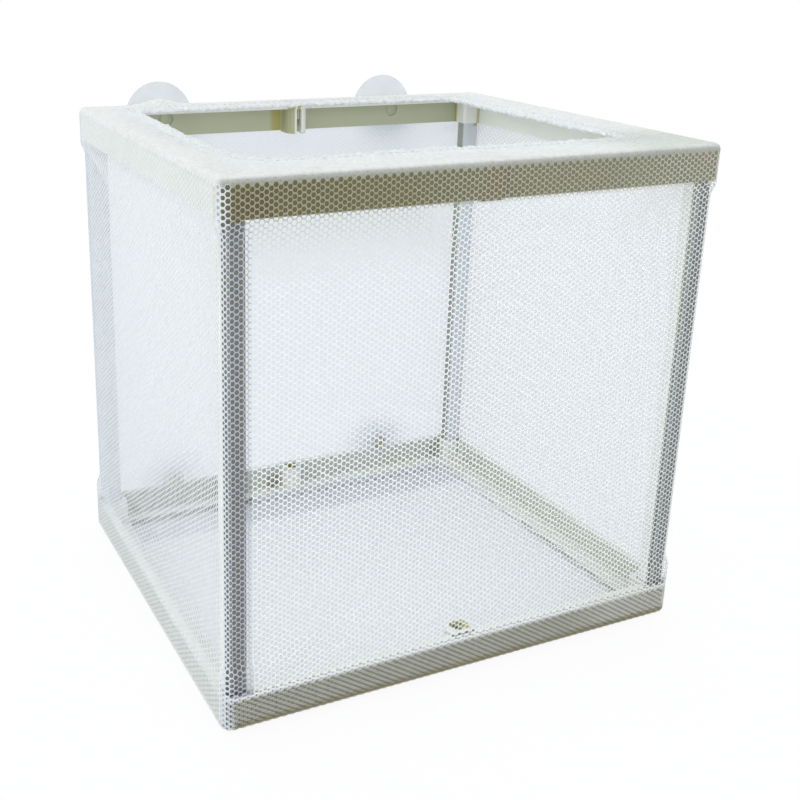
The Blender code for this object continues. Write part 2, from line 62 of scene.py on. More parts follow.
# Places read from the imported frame
BASE_LOW, BASE_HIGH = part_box("base_ring_left")
TOP_LOW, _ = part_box("top_ring_left")
HALF_WIDTH = -BASE_LOW.x
HALF_DEPTH = -BASE_LOW.y
CUP_NODES = ("cup_low_left", "cup_low_right", "cup_top_left", "cup_top_right")
CUP_AXES = {joint["child"]: Vector(joint["pos_m"]) for joint in frame["joints"]}
FRAME_BODY = "frame_and_net"
BASE_RINGS = ("base_ring_left", "base_ring_right")
TOP_RINGS = ("top_ring_left", "top_ring_right")
POSTS = ("post_front_left", "post_front_right", "post_rear_left", "post_rear_right")

# Sizes of the rings that the cloth and the plastic's colours follow
RING_CORNER = 0.0030
RAIL_HEIGHT = 0.0100
# Depths in from the frame's front and rear: the plastic's painted shade lies in full out to the second and
# fades out by the first
RAIL_FACE_DEPTHS = (0.0045, 0.0035)

# The bag's cloth: honeycomb columns round it and rows up it
FRONT_COLUMNS = 130
SIDE_COLUMNS = 104
COLUMN_COUNT = 2 * (FRONT_COLUMNS + SIDE_COLUMNS)
WALL_ROWS = 95
BAND_ROWS = (1, 8)

# Corners of a cell, in thirds of a column across and halves of a row up
CELL_CORNERS = ((2, 0), (1, 1), (-1, 1), (-2, 0), (-1, -1), (1, -1))
THIRDS = 3
HALVES = 2

# Where the cloth lies: outside the rings, round their edges, in under the base and over the floor
NET_OUT = 0.00020
BEND_RADIUS = 0.0015
LOW_BEND_Z = 0.0018
TOP_BEND_Z = 0.14795
TAIL_WIDTH = 0.00125
FLOOR_Z = 0.00022
FLOOR_EDGE = -0.0014
BAND_DEPTH = 0.00015
EYELET_CLEARANCE = 0.0019

# Where a wall falls in: away from the posts and the rings, and more slowly between two posts
POST_REACH = 0.004
POST_FADE = 0.030
RING_FADE = 0.004
MIDDLE_FADE = 0.010

# Where a wall's threads lie wider: over the base rail and its seam, at the top bend and the left corner
RAIL_OVERLAP = 0.0004
RAIL_FADE = 0.0012
SEAM_ABOVE = 0.0007
TOP_OVERLAP = 0.0010
TOP_FADE = 0.0026
TOP_GROWTH = 2.8
CORNER_COLUMNS = 3
CORNER_GROWTH = 1.5
CLOSED_GROWTH = 3.85

# The hem: its fold round the elastic, the layer that runs back under it, and its stitches, each a bead
# with a thickness at stations along it
FOLD_RADIUS = 0.0006
UNDER_WIDTH = 0.0092
CHANNEL_WIDTH = 0.0045
LAYER_GAP = 0.00010
STITCH_SLANT = 0.00025
STITCH_LIFT = 0.0002
STITCH_SIDES = 6
STITCH_STATIONS = ((0.0, 0.25), (0.18, 0.9), (0.5, 1.15), (0.82, 0.9), (1.0, 0.25))
ELASTIC_SIDES = 10

# Where the hem's threads lie less wide, at the front edge and to its right, and where they close up
HEM_FRONT_Y = -0.05
HEM_RIGHT_X = -0.02
HEM_RIGHT_FADE = 0.08
HEM_OPEN_SHARE = 0.42
HEM_BEND_WIDTH = 0.0012
HEM_BEND_GROWTH = 3.8

# Waves of the hem near the mouth: whole waves round it, share of the height and start
RIPPLE_REACH = 0.0065
HEM_WAVES = ((163, 0.42, 0.3), (131, 0.33, 1.9), (79, 0.35, 4.1), (31, 0.22, 2.6))
EDGE_WAVES = ((149, 0.40, 1.1), (113, 0.36, 5.2), (61, 0.34, 0.4), (37, 0.30, 3.3))

# The mouth's edge, one side after another from the front left corner
MOUTH_SIDES = (
    ((-.0556, -.0424), (-.0510, -.0446), (-.0464, -.0454), (-.0344, -.0446), (-.0219, -.0434),
     (-.0032, -.0431), (.0082, -.0450), (.0219, -.0446), (.0349, -.0453), (.0496, -.0448),
     (.0553, -.0442), (.0568, -.0428)),
    ((.0568, -.0428), (.0571, -.0351), (.0555, -.0188), (.0556, .0047), (.0553, .0234),
     (.0566, .0440), (.0562, .0512)),
    ((.0562, .0512), (.0520, .0526), (.0450, .0527), (.0142, .0532), (-.0185, .0520),
     (-.0403, .0515), (-.0540, .0512), (-.0590, .0500)),
    ((-.0590, .0500), (-.0600, .0396), (-.0601, .0181), (-.0609, -.0001), (-.0604, -.0190),
     (-.0600, -.0330), (-.0585, -.0390), (-.0556, -.0424)),
)
MOUTH_SMOOTHING = 16

# Where the cloth rises over an upper cup: x, y, rise, half width and half depth
HUMPS = ((-.0485, .0625, .0020, .0056, .0042),)
HUMP_Z = 0.1430
HUMP_FADE = 0.0050

# Half section of a cup: radius, and distance behind the rail, from the head to the hollow
CUP_SIDES = 64
CUP_SECTION = (
    (0.0004, -0.00260), (0.0012, -0.00258), (0.0018, -0.00245), (0.0023, -0.00220), (0.0023, -0.00185),
    (0.0020, -0.00162), (0.0014, -0.00160), (0.0014, 0.00110), (0.0037, 0.00112), (0.0040, 0.00130),
    (0.0040, 0.00190), (0.0042, 0.00208), (0.0050, 0.00240), (0.0061, 0.00280), (0.0074, 0.00330),
    (0.0089, 0.00385), (0.0100, 0.00440), (0.0108, 0.00485), (0.0113, 0.00520), (0.0115, 0.00545),
    (0.0115, 0.00568), (0.0114, 0.00580), (0.0110, 0.00580), (0.0106, 0.00576), (0.0098, 0.00530),
    (0.0088, 0.00478), (0.0082, 0.00482), (0.0078, 0.00448), (0.0067, 0.00390), (0.0053, 0.00335),
    (0.0036, 0.00290), (0.0018, 0.00266), (0.0004, 0.00260),
)

# Soft-edged boxes of other colours laid over the colours round them, most of them painted shade: colour,
# middle, half size, softness of the edge
FRAME_PAINTED_SHADE_AND_PATCHES = (
    # Front posts: painted shade on their front faces, darkest down the middle
    ((0.33, 0.35, 0.40), (-0.0707, -0.0640, 0.0746), (0.0045, 0.0006, 0.0640), 0.0004),
    ((0.13, 0.13, 0.095), (-0.0705, -0.0640, 0.0746), (0.0017, 0.0006, 0.0640), 0.0008),
    ((0.30, 0.33, 0.34), (0.0707, -0.0640, 0.0746), (0.0045, 0.0006, 0.0640), 0.0004),
    ((0.17, 0.175, 0.155), (0.0712, -0.0640, 0.0746), (0.0018, 0.0006, 0.0640), 0.0008),
    # Rear posts: bluish grey painted shade
    ((0.60, 0.64, 0.69), (0.0, 0.0600, 0.0750), (0.0740, 0.0040, 0.0640), 0.0004),
    # Front top rail: painted shade at its left end and at the mid joint, and a small reddish-brown patch at
    # its right end
    ((0.10, 0.085, 0.030), (-0.0670, -0.0654, 0.1430), (0.0045, 0.0020, 0.0030), 0.0030),
    ((0.20, 0.160, 0.080), (0.0005, -0.0654, 0.1435), (0.0030, 0.0020, 0.0035), 0.0030),
    ((0.36, 0.25, 0.16), (0.0687, -0.0654, 0.1468), (0.0012, 0.0020, 0.0012), 0.0012),
    # Painted shade along the underside of the front base rail
    ((0.10, 0.085, 0.035), (0.0, -0.0654, 0.0), (0.0760, 0.0020, 0.0027), 0.0008),
    # Rear top rail: painted shade beside the mid boss, on the boss's left side and in its slot, and beside
    # the right corner socket
    ((0.40, 0.36, 0.12), (-0.0058, 0.0624, 0.1430), (0.0028, 0.0010, 0.0045), 0.0010),
    ((0.43, 0.43, 0.26), (-0.0036, 0.0590, 0.1440), (0.0015, 0.0045, 0.0060), 0.0003),
    ((0.50, 0.44, 0.12), (-0.0008, 0.0590, 0.1440), (0.0006, 0.0040, 0.0050), 0.0002),
    ((0.42, 0.42, 0.12), (0.0667, 0.0624, 0.1430), (0.0010, 0.0010, 0.0040), 0.0004),
    ((0.42, 0.42, 0.12), (0.0724, 0.0569, 0.1420), (0.0010, 0.0010, 0.0040), 0.0004),
    # The right top rail's inner face, pale
    ((0.79, 0.81, 0.75), (0.0724, -0.0050, 0.1440), (0.0006, 0.0590, 0.0060), 0.0004),
    # Rear left post: bluish grey painted shade
    ((0.57, 0.62, 0.67), (-0.0707, 0.0590, 0.0750), (0.0045, 0.0050, 0.0640), 0.0004),
    # Painted shade in the front base boss's bore
    ((0.42, 0.42, 0.16), (0.0010, -0.0600, 0.0090), (0.0030, 0.0024, 0.0040), 0.0002),
    # Painted shade on one side of the rear right post
    ((0.22, 0.24, 0.17), (0.0681, 0.0615, 0.0750), (0.0005, 0.0026, 0.0640), 0.0003),
    # Base rails: painted shade beside the rear boss and the right corner socket, along the flanges' inner
    # edges, on the right and rear rails' inner faces, beside the corner socket and in the rear boss's bore;
    # darker on the left rail's outer face
    ((0.30, 0.29, 0.19), (-0.0070, 0.0624, 0.0047), (0.0026, 0.0010, 0.0030), 0.0015),
    ((0.32, 0.34, 0.26), (0.0647, 0.0624, 0.0060), (0.0030, 0.0010, 0.0030), 0.0015),
    ((0.30, 0.32, 0.25), (0.0666, -0.0280, 0.0017), (0.0008, 0.0300, 0.0005), 0.0005),
    ((0.60, 0.64, 0.68), (0.0, 0.0560, 0.0018), (0.0640, 0.0006, 0.0011), 0.0003),
    ((0.58, 0.60, 0.51), (0.0724, -0.0050, 0.0070), (0.0006, 0.0590, 0.0040), 0.0004),
    ((0.20, 0.21, 0.16), (-0.0485, 0.0624, 0.0058), (0.0305, 0.0010, 0.0050), 0.0030),
    ((0.22, 0.23, 0.20), (-0.0440, 0.0560, 0.0018), (0.0260, 0.0006, 0.0011), 0.0006),
    ((0.36, 0.37, 0.18), (0.0667, 0.0624, 0.0080), (0.0010, 0.0010, 0.0030), 0.0004),
    ((0.36, 0.37, 0.18), (0.0724, 0.0569, 0.0080), (0.0010, 0.0010, 0.0030), 0.0004),
    ((0.42, 0.42, 0.16), (-0.0006, 0.0599, 0.0090), (0.0022, 0.0022, 0.0040), 0.0002),
    ((0.55, 0.56, 0.47), (-0.0755, 0.0, 0.0050), (0.0006, 0.0640, 0.0060), 0.0004),
)
# Front net and band threads: painted shade over the dark rails and posts and at the left corner, heavier at
# the top rail's left end and under the base rail, lighter towards the right
FRONT_NET_PAINTED_SHADE = (
    ((0.54, 0.52, 0.42), (0.0, -0.0654, 0.1460), (0.0760, 0.0020, 0.0074), 0.0004),
    ((0.38, 0.35, 0.21), (-0.0600, -0.0654, 0.1440), (0.0350, 0.0020, 0.0056), 0.0200),
    ((0.73, 0.73, 0.67), (0.0700, -0.0654, 0.1440), (0.0150, 0.0020, 0.0056), 0.0200),
    ((0.56, 0.58, 0.63), (-0.0707, -0.0654, 0.0746), (0.0040, 0.0020, 0.0640), 0.0004),
    ((0.80, 0.83, 0.84), (0.0707, -0.0654, 0.0746), (0.0045, 0.0020, 0.0640), 0.0004),
    ((0.58, 0.58, 0.50), (0.0, -0.0654, 0.0045), (0.0760, 0.0020, 0.0052), 0.0010),
    ((0.82, 0.82, 0.74), (0.0760, -0.0654, 0.0045), (0.0280, 0.0020, 0.0052), 0.0150),
    ((0.42, 0.39, 0.26), (0.0, -0.0654, 0.0), (0.0760, 0.0030, 0.0027), 0.0008),
    ((0.80, 0.83, 0.87), (-0.0762, -0.0654, 0.0746), (0.0040, 0.0030, 0.0800), 0.0008),
)
# Hem threads: painted shade at the front right, where the hem lies open, and along the front fold
HEM_PAINTED_SHADE = (
    ((0.82, 0.85, 0.81), (0.0620, -0.0540, 0.1500), (0.0140, 0.0130, 0.0060), 0.0150),
    ((0.60, 0.62, 0.53), (0.0, -0.0660, 0.1475), (0.0770, 0.0016, 0.0010), 0.0010),
)
# Floor threads: painted shadow of the rear base rail, a bluish-grey band in front of it
FLOOR_PAINTED_SHADOW = (((0.62, 0.66, 0.71), (0.0, 0.0495, 0.0), (0.0660, 0.0065, 0.0020), 0.0030),)

# Camera solved from the frame's corners in the photograph
CAMERA_PLACE = (-0.163094, -0.304313, 0.197673)
CAMERA_ACROSS = (0.90432, -0.42647, 0.01797)
CAMERA_UPWARD = (0.11744, 0.28905, 0.95008)
CAMERA_BACKWARD = (-0.41038, -0.85707, 0.31148)
CAMERA_LENS = 51.275
CAMERA_SHIFT = (0.0975, -0.0900)
CAMERA_SENSOR = 36.0
CAMERA_CLIP = (0.01, 20.0)

# The lamps: place, size and colour
LAMPS = {
    "left": ((-0.85, -0.05, 0.45), 0.7, (0.97, 0.985, 1.0)),
    "right": ((0.85, 0.15, 0.45), 0.7, (1.0, 1.0, 1.0)),
    "front": ((-0.25, -0.85, 0.35), 0.7, (1.0, 1.0, 1.0)),
    "top": ((0.05, 0.45, 0.95), 0.8, (1.0, 1.0, 1.0)),
}

# The floor, and how far from the origin its shadow fades
FLOOR_SIZE = 6.0
FLOOR_DROP = 0.0002
SHADOW_FADE = (0.12, 0.40)


def length_setting(label, words, default):
    """A length that a user may change."""
    return bpy.props.FloatProperty(name=label, description=words, default=default, min=0.0,
                                   precision=5, subtype="DISTANCE", unit="LENGTH")


def colour_setting(label, words, default):
    """A colour that a user may change."""
    return bpy.props.FloatVectorProperty(name=label, description=words, default=default, size=3,
                                         min=0.0, max=1.0, subtype="COLOR")


def share_setting(label, words, default):
    """A share from 0 to 1 that a user may change."""
    return bpy.props.FloatProperty(name=label, description=words, default=default,
                                   min=0.0, max=1.0, subtype="FACTOR")


def growth_setting(label, words, default):
    """How many times wider than in a single open layer the threads lie."""
    return bpy.props.FloatProperty(name=label, description=words, default=default, min=0.5, max=3.9)


class BreederBagSettings(bpy.types.PropertyGroup):
    """Sizes and colours of the net bag."""

    bar_half: length_setting("Bar half width", "Half the width of the level threads", 0.00020)
    thread_half: length_setting("Thread half width", "Half the width of the slanting threads", 0.000135)
    thread_rise: length_setting("Thread rise", "How far a thread's middle stands out", 0.00013)
    left_growth: growth_setting("Left growth", "How much wider the left wall's threads lie", 1.15)
    right_growth: growth_setting("Right growth", "How much wider the right wall's threads lie", 3.1)
    band_growth: growth_setting("Band growth", "How much wider the threads lie over the base rail", 1.0)
    seam_growth: growth_setting("Seam growth", "How much wider they lie in the row above the rail", 2.6)
    rear_growth: growth_setting("Rear growth", "How much wider the rear and floor threads lie", 3.75)
    wander: length_setting("Thread wander", "How far the knots stray from their places", 0.00005)
    draw_in: length_setting("Drawn in", "How far the walls fall in between the rings", 0.00120)
    sag: length_setting("Sag", "How much further they fall in halfway between two posts", 0.0006)
    colour: colour_setting("Net colour", "Colour of the net's threads", (0.955, 0.975, 0.985))
    # Painted shade: the right, rear and floor colours are darker, bluer copies of the white thread, for cloth
    # seen from inside the bag
    right_shaded_colour: colour_setting("Right colour", "Colour of the right wall's threads", (0.83, 0.855, 0.88))
    rear_shaded_colour: colour_setting("Rear colour", "Colour of the rear wall's threads", (0.81, 0.85, 0.89))
    floor_colour: colour_setting("Floor colour", "Colour of the floor's threads", (0.86, 0.885, 0.91))
    see_through: share_setting("Light let through", "How much light the side threads let through", 0.50)
    front_through: share_setting("Front light", "How much light the front threads let through", 0.22)
    rear_through: share_setting("Rear light", "How much light the rear threads let through", 0.70)


class BreederHemSettings(bpy.types.PropertyGroup):
    """Sizes and colours of the hem and its elastic."""

    growth: growth_setting("Growth", "How much wider the hem's gathered threads lie", 2.9)
    ripple: length_setting("Ripple", "Height of the ripples near the mouth", 0.00036)
    scallop: length_setting("Scallop", "How far the mouth's edge wanders", 0.00045)
    stitch_length: length_setting("Stitch length", "Length of one stitch", 0.0015)
    stitch_pitch: length_setting("Stitch pitch", "Distance from one stitch to the next", 0.0026)
    stitch_radius: length_setting("Stitch radius", "Half the thickness of the sewing thread", 0.00016)
    elastic_radius: length_setting("Elastic radius", "Half the thickness of the elastic", 0.00045)
    colour: colour_setting("Hem colour", "Colour of the hem's threads", (0.98, 0.99, 0.99))
    elastic_colour: colour_setting("Elastic colour", "Colour of the covered elastic", (0.88, 0.89, 0.90))


class BreederFrameSettings(bpy.types.PropertyGroup):
    """Colours and roughness of the frame's moulded plastic; all but the pale colour are painted shade on the
    rails' upright faces.
    """

    pale_colour: colour_setting("Pale colour", "Faces that look up, down or sideways", (0.80, 0.81, 0.77))
    # Painted shade: darker colours that stand for the front top rail's face, the front base rail's face and
    # the rear rails' inner faces in shade
    front_left: colour_setting("Front left", "Front face of the top rail, left end", (0.125, 0.118, 0.038))
    front_right: colour_setting("Front right", "Front face of the top rail, right end", (0.245, 0.248, 0.160))
    low_shaded_colour: colour_setting("Low colour", "Front face of the base rail", (0.10, 0.099, 0.072))
    rear_shaded_colour: colour_setting("Rear colour", "Inner face of the rear top rail", (0.43, 0.45, 0.31))
    rear_low_shaded: colour_setting("Rear low colour", "Inner face of the rear base rail", (0.50, 0.53, 0.48))
    roughness: share_setting("Roughness", "Roughness of the plastic", 0.42)


class BreederCupSettings(bpy.types.PropertyGroup):
    """Finish of the suction cups."""

    colour: colour_setting("Cup colour", "Colour of the clear soft plastic", (0.77, 0.81, 0.84))
    clearness: share_setting("Clearness", "How much light passes through", 0.85)
    roughness: share_setting("Roughness", "Roughness of the cups", 0.22)
    # The stem, seen inside the rail, takes the rail's olive painted shade and lets little light through
    stem_shaded_colour: colour_setting("Stem colour", "Colour of the stem in the rail", (0.44, 0.46, 0.32))
    stem_clearness: share_setting("Stem clearness", "How much light passes through the stem", 0.10)


class BreederStageSettings(bpy.types.PropertyGroup):
    """Lamps, floor and surroundings."""

    left_power: bpy.props.FloatProperty(name="Left lamp", description="Power of the left lamp in watts",
                                        default=1.75, min=0.0, unit="POWER")
    right_power: bpy.props.FloatProperty(name="Right lamp", description="Power of the right lamp in watts",
                                         default=0.9, min=0.0, unit="POWER")
    front_power: bpy.props.FloatProperty(name="Front lamp", description="Power of the front lamp in watts",
                                         default=1.35, min=0.0, unit="POWER")
    top_power: bpy.props.FloatProperty(name="Top lamp", description="Power of the top lamp in watts",
                                       default=1.9, min=0.0, unit="POWER")
    surround: share_setting("Surroundings", "Light from all round", 0.95)
    shadow: share_setting("Shadow", "How much of the shadow shows on the floor", 0.09)
    floor_colour: colour_setting("Floor colour", "Colour of the floor", (0.86, 0.86, 0.87))


def smooth_step(value):
    """Nought to one with eased ends."""
    held = np.clip(value, 0.0, 1.0)
    return held * held * (3.0 - 2.0 * held)


def waves(turn, table):
    """A sum of whole waves round the mouth, from (count, share, start) rows. turn is in radians."""
    return sum(share * np.sin(count * turn + start) for count, share, start in table)


def stray(first, second, seed):
    """A repeatable number from -1 to 1 for each pair of whole numbers."""
    mixed = np.sin(first * 127.1 + second * 311.7 + seed * 74.7) * 43758.5453
    return 2.0 * (mixed - np.floor(mixed)) - 1.0


class BagShape:
    """Where the bag's cloth lies: round the frame (along) and up, over and under (up)."""

    def __init__(self, bag, hem):
        self.bag = bag
        self.hem = hem
        self.centre = (HALF_WIDTH - RING_CORNER, HALF_DEPTH - RING_CORNER)
        quarter = math.pi / 2 * (RING_CORNER + NET_OUT)
        across, deep = 2 * self.centre[0], 2 * self.centre[1]
        spans = np.array([quarter, across, quarter, deep, quarter, across, quarter, deep])
        self.quarter = quarter
        self.starts = np.concatenate([[0.0], np.cumsum(spans)[:-1]])
        self.round = float(spans.sum())
        self.pitch = self.round / COLUMN_COUNT
        self.column_places = np.arange(COLUMN_COUNT) * self.pitch
        self.first_angle = np.radians([180, 270, 270, 0, 0, 90, 90, 180])
        right, deep_half = self.centre
        self.first_centre = np.array([(-right, -deep_half), (-right, -deep_half), (right, -deep_half),
                                      (right, -deep_half), (right, deep_half), (right, deep_half),
                                      (-right, deep_half), (-right, deep_half)])
        self.heading = np.array([(0, 0), (1, 0), (0, 0), (0, 1), (0, 0), (-1, 0), (0, 0), (0, -1)])
        self.spans = spans
        bend = math.pi / 2 * BEND_RADIUS
        self.tail_end = TAIL_WIDTH
        self.wall_start = TAIL_WIDTH + bend
        self.wall_end = self.wall_start + TOP_BEND_Z - LOW_BEND_Z
        self.top_start = self.wall_end + bend
        self.row_pitch = self.wall_end / WALL_ROWS
        self.bend_out = NET_OUT - BEND_RADIUS
        self.top_z = TOP_BEND_Z + BEND_RADIUS
        self.mouth = self.mouth_points()

    def plan(self, along, out):
        """Plan points, outward directions and nearness to a corner at places round the bag."""
        at = np.mod(along, self.round)
        which = np.searchsorted(self.starts, at, side="right") - 1
        local = at - self.starts[which]
        turning = which % 2 == 0
        angle = self.first_angle[which] + np.where(turning, local / self.quarter * math.pi / 2, 0.0)
        middle = self.first_centre[which] + np.where(turning, 0.0, local)[:, None] * self.heading[which]
        normal = np.stack([np.cos(angle), np.sin(angle)], axis=1)
        from_corner = np.where(turning, 0.0, np.minimum(local, self.spans[which] - local))
        return middle + (RING_CORNER + out)[:, None] * normal, normal, from_corner

    def mouth_points(self):
        """Mouth's edge at each third of a column, paired with the outside corner by corner."""
        half = self.quarter / 2
        corners = [half, self.starts[2] + half, self.starts[4] + half, self.starts[6] + half]
        corners.append(corners[0] + self.round)
        count = COLUMN_COUNT * THIRDS
        along = np.arange(count) * self.pitch / THIRDS
        along = np.where(along < corners[0], along + self.round, along)
        points = np.zeros((count, 2))
        for side, outline in enumerate(MOUTH_SIDES):
            inside = (along >= corners[side]) & (along <= corners[side + 1])
            share = (along[inside] - corners[side]) / (corners[side + 1] - corners[side])
            line = np.array(outline)
            steps = np.hypot(*np.diff(line, axis=0).T)
            marks = np.concatenate([[0.0], np.cumsum(steps)]) / steps.sum()
            points[inside, 0] = np.interp(share, marks, line[:, 0])
            points[inside, 1] = np.interp(share, marks, line[:, 1])
        for _ in range(MOUTH_SMOOTHING):
            points = (np.roll(points, 1, axis=0) + 2 * points + np.roll(points, -1, axis=0)) / 4
        return points

    def mouth_at(self, along):
        """The mouth's edge at places round the bag."""
        third = np.mod(along, self.round) / (self.pitch / THIRDS)
        low = np.floor(third).astype(int)
        share = (third - low)[:, None]
        count = len(self.mouth)
        return self.mouth[low % count] * (1 - share) + self.mouth[(low + 1) % count] * share

    def wall_out(self, height, from_corner):
        """How far outside the ring's face a wall is: on the rings it lies against them."""
        clear = np.minimum(height - BASE_HIGH.z, TOP_LOW.z - height)
        middle = smooth_step((from_corner - POST_REACH) / POST_FADE)
        fall = smooth_step(clear / (RING_FADE + MIDDLE_FADE * middle))
        return NET_OUT - fall * (self.bag.draw_in + self.bag.sag * middle)

    def hump(self, plan):
        """How far the cloth is pushed up where it passes over an upper cup."""
        raised = np.zeros(len(plan))
        for x, y, height, half_width, half_depth in HUMPS:
            far = ((plan[:, 0] - x) / half_width) ** 2 + ((plan[:, 1] - y) / half_depth) ** 2
            raised += height * np.exp(-far)
        return raised

    def reach(self, along):
        """Way from the outside to the mouth, its length, and where it starts."""
        start, _, _ = self.plan(along, np.full(len(along), self.bend_out))
        way = self.mouth_at(along) - start
        length = np.hypot(way[:, 0], way[:, 1])
        return start, way / length[:, None], length - FOLD_RADIUS

    def hem_end(self, along):
        """Where the hem's under layer ends, measured up the cloth."""
        _, _, reach = self.reach(along)
        return self.top_start + reach + math.pi * FOLD_RADIUS + UNDER_WIDTH

    def point(self, along, up, lift):
        """Places in space of points on the cloth, lift above it."""
        along = np.asarray(along, float)
        up = np.asarray(up, float)
        lift = np.asarray(lift, float) * np.ones(len(along))
        _, _, from_corner = self.plan(along, np.zeros(len(along)))

        low_turn = np.clip((up - self.tail_end) / BEND_RADIUS, 0.0, math.pi / 2) - math.pi / 2
        top_turn = np.clip((up - self.wall_end) / BEND_RADIUS, 0.0, math.pi / 2)
        height = LOW_BEND_Z + np.clip(up - self.wall_start, 0.0, TOP_BEND_Z - LOW_BEND_Z)
        on_wall = (up > self.wall_start) & (up < self.wall_end)
        turn = np.where(up <= self.wall_start, low_turn, top_turn)
        bend_z = np.where(up <= self.wall_start, LOW_BEND_Z, TOP_BEND_Z)
        out = self.bend_out + BEND_RADIUS * np.cos(turn)
        rise = bend_z + BEND_RADIUS * np.sin(turn)
        out = np.where(on_wall, self.wall_out(height, from_corner), out)
        rise = np.where(on_wall, height, rise)
        tail = np.clip(self.tail_end - up, 0.0, None)
        out = out - tail
        lean = np.where(on_wall, 1.0, np.cos(turn))
        stand = np.where(on_wall, 0.0, np.sin(turn))
        outside, _, _ = self.plan(along, out + lift * lean)
        outside_z = rise + lift * stand

        start, way, reach = self.reach(along)
        gone = up - self.top_start
        fold_turn = np.clip((gone - reach) / FOLD_RADIUS, 0.0, math.pi)
        back = np.clip(gone - reach - math.pi * FOLD_RADIUS, 0.0, None)
        inward = np.minimum(gone, reach) + FOLD_RADIUS * np.sin(fold_turn) - back
        fold_z = self.top_z - FOLD_RADIUS
        under = smooth_step(back / CHANNEL_WIDTH) * (2 * FOLD_RADIUS - LAYER_GAP)
        across_z = fold_z + FOLD_RADIUS * np.cos(fold_turn) + under
        from_edge = reach + FOLD_RADIUS - inward
        turn_round = along / self.round * math.tau
        near = smooth_step(1.0 - from_edge / RIPPLE_REACH)
        ripple = self.hem.ripple * near * waves(turn_round, HEM_WAVES)
        scallop = self.hem.scallop * near * waves(turn_round, EDGE_WAVES)
        inward = inward + scallop + lift * np.sin(fold_turn)
        inside = start + way * inward[:, None]
        inside_z = across_z + ripple + lift * np.cos(fold_turn)

        in_hem = up > self.top_start
        plan = np.where(in_hem[:, None], inside, outside)
        z = np.where(in_hem, inside_z, outside_z)
        z = z + self.hump(plan) * smooth_step((z - HUMP_Z) / HUMP_FADE)
        return np.column_stack([plan, z])


def mesh_from_arrays(name, points, faces, uvs=None):
    """A mesh object from arrays of points and four-sided faces, with an optional map of its own."""
    mesh = bpy.data.meshes.new(name)
    mesh.vertices.add(len(points))
    mesh.vertices.foreach_set("co", np.asarray(points, np.float32).ravel())
    mesh.loops.add(faces.size)
    mesh.loops.foreach_set("vertex_index", faces.ravel().astype(np.int32))
    mesh.polygons.add(len(faces))
    width = faces.shape[1]
    mesh.polygons.foreach_set("loop_start", np.arange(0, faces.size, width, dtype=np.int32))
    mesh.polygons.foreach_set("loop_total", np.full(len(faces), width, np.int32))
    mesh.update(calc_edges=True)
    if uvs is not None:
        layer = mesh.uv_layers.new(name="OFBake")
        layer.data.foreach_set("uv", np.asarray(uvs, np.float32)[faces.ravel()].ravel())
    mesh.validate()
    mesh.shade_smooth()
    thing = bpy.data.objects.new(name, mesh)
    bpy.context.scene.collection.objects.link(thing)
    return thing


def gap_outlines(bag, pitch, row_pitch, growth):
    """Corners of the gap in each honeycomb cell, from the growth of its threads."""
    side = 2 * pitch / THIRDS
    slant = math.hypot(side / 2, row_pitch / 2)
    shift = 2 * bag.thread_half * growth * slant / row_pitch
    wide = side - shift
    narrow = side / 2 - shift + side * bag.bar_half * growth / row_pitch
    high = row_pitch / 2 - bag.bar_half * growth
    across = np.stack([wide, narrow, -narrow, -wide, -narrow, narrow], axis=1)
    upward = np.stack([0 * high, high, high, 0 * high, -high, -high], axis=1)
    return np.stack([across, upward], axis=2)


def lattice(name, cells, bag, pitch, row_pitch, growth, place):
    """Honeycomb net: each cell is six flat threads whose outer edges are shared raised ridges.

    cells holds (column, row) pairs, growth a number for each of them, and place turns flat places
    and a lift into points in space.
    """
    column, row = cells[:, 0], cells[:, 1]
    middle_x = THIRDS * column
    middle_z = HALVES * row + column % 2
    corner = np.array(CELL_CORNERS)
    ridge_x = middle_x[:, None] + corner[:, 0]
    ridge_z = middle_z[:, None] + corner[:, 1]
    span = int(ridge_z.max() - ridge_z.min()) + 1
    key = (ridge_x.ravel() - ridge_x.min()) * span + ridge_z.ravel() - ridge_z.min()
    unique, first, inverse = np.unique(key, return_index=True, return_inverse=True)
    x, z = ridge_x.ravel()[first], ridge_z.ravel()[first]
    flat = np.column_stack([x * pitch / THIRDS, z * row_pitch / HALVES])
    flat[:, 0] += bag.wander * stray(x, z, 1)
    flat[:, 1] += bag.wander * stray(x, z, 2)
    ridge = place(flat[:, 0], flat[:, 1], bag.thread_rise)
    middle = np.column_stack([middle_x * pitch / THIRDS, middle_z * row_pitch / HALVES])
    inner_flat = middle[:, None, :] + gap_outlines(bag, pitch, row_pitch, growth)
    lean = bag.wander * np.column_stack([stray(column, row, 3), stray(column, row, 4)])
    inner_flat = (inner_flat + lean[:, None, :]).reshape(-1, 2)
    inner = place(inner_flat[:, 0], inner_flat[:, 1], 0.0)
    outer_index = inverse.reshape(-1, len(CELL_CORNERS))
    inner_index = len(unique) + np.arange(len(inner)).reshape(-1, len(CELL_CORNERS))
    after = np.roll(np.arange(len(CELL_CORNERS)), -1)
    faces = np.stack([outer_index, outer_index[:, after], inner_index[:, after], inner_index], axis=2)
    both = np.concatenate([flat, inner_flat])
    uvs = (both - both.min(axis=0)) / (both.max(axis=0) - both.min(axis=0))
    return mesh_from_arrays(name, np.concatenate([ridge, inner]), faces.reshape(-1, 4), uvs)


def cell_grid(columns, rows):
    """All pairs of a column and a row."""
    column, row = np.meshgrid(np.asarray(columns), np.asarray(rows), indexing="ij")
    return np.column_stack([column.ravel(), row.ravel()])


def cell_heights(cells, row_pitch):
    """How far up the cloth the cells' middles lie: every second column stands half a row higher."""
    return (cells[:, 1] + (cells[:, 0] % 2) / 2) * row_pitch


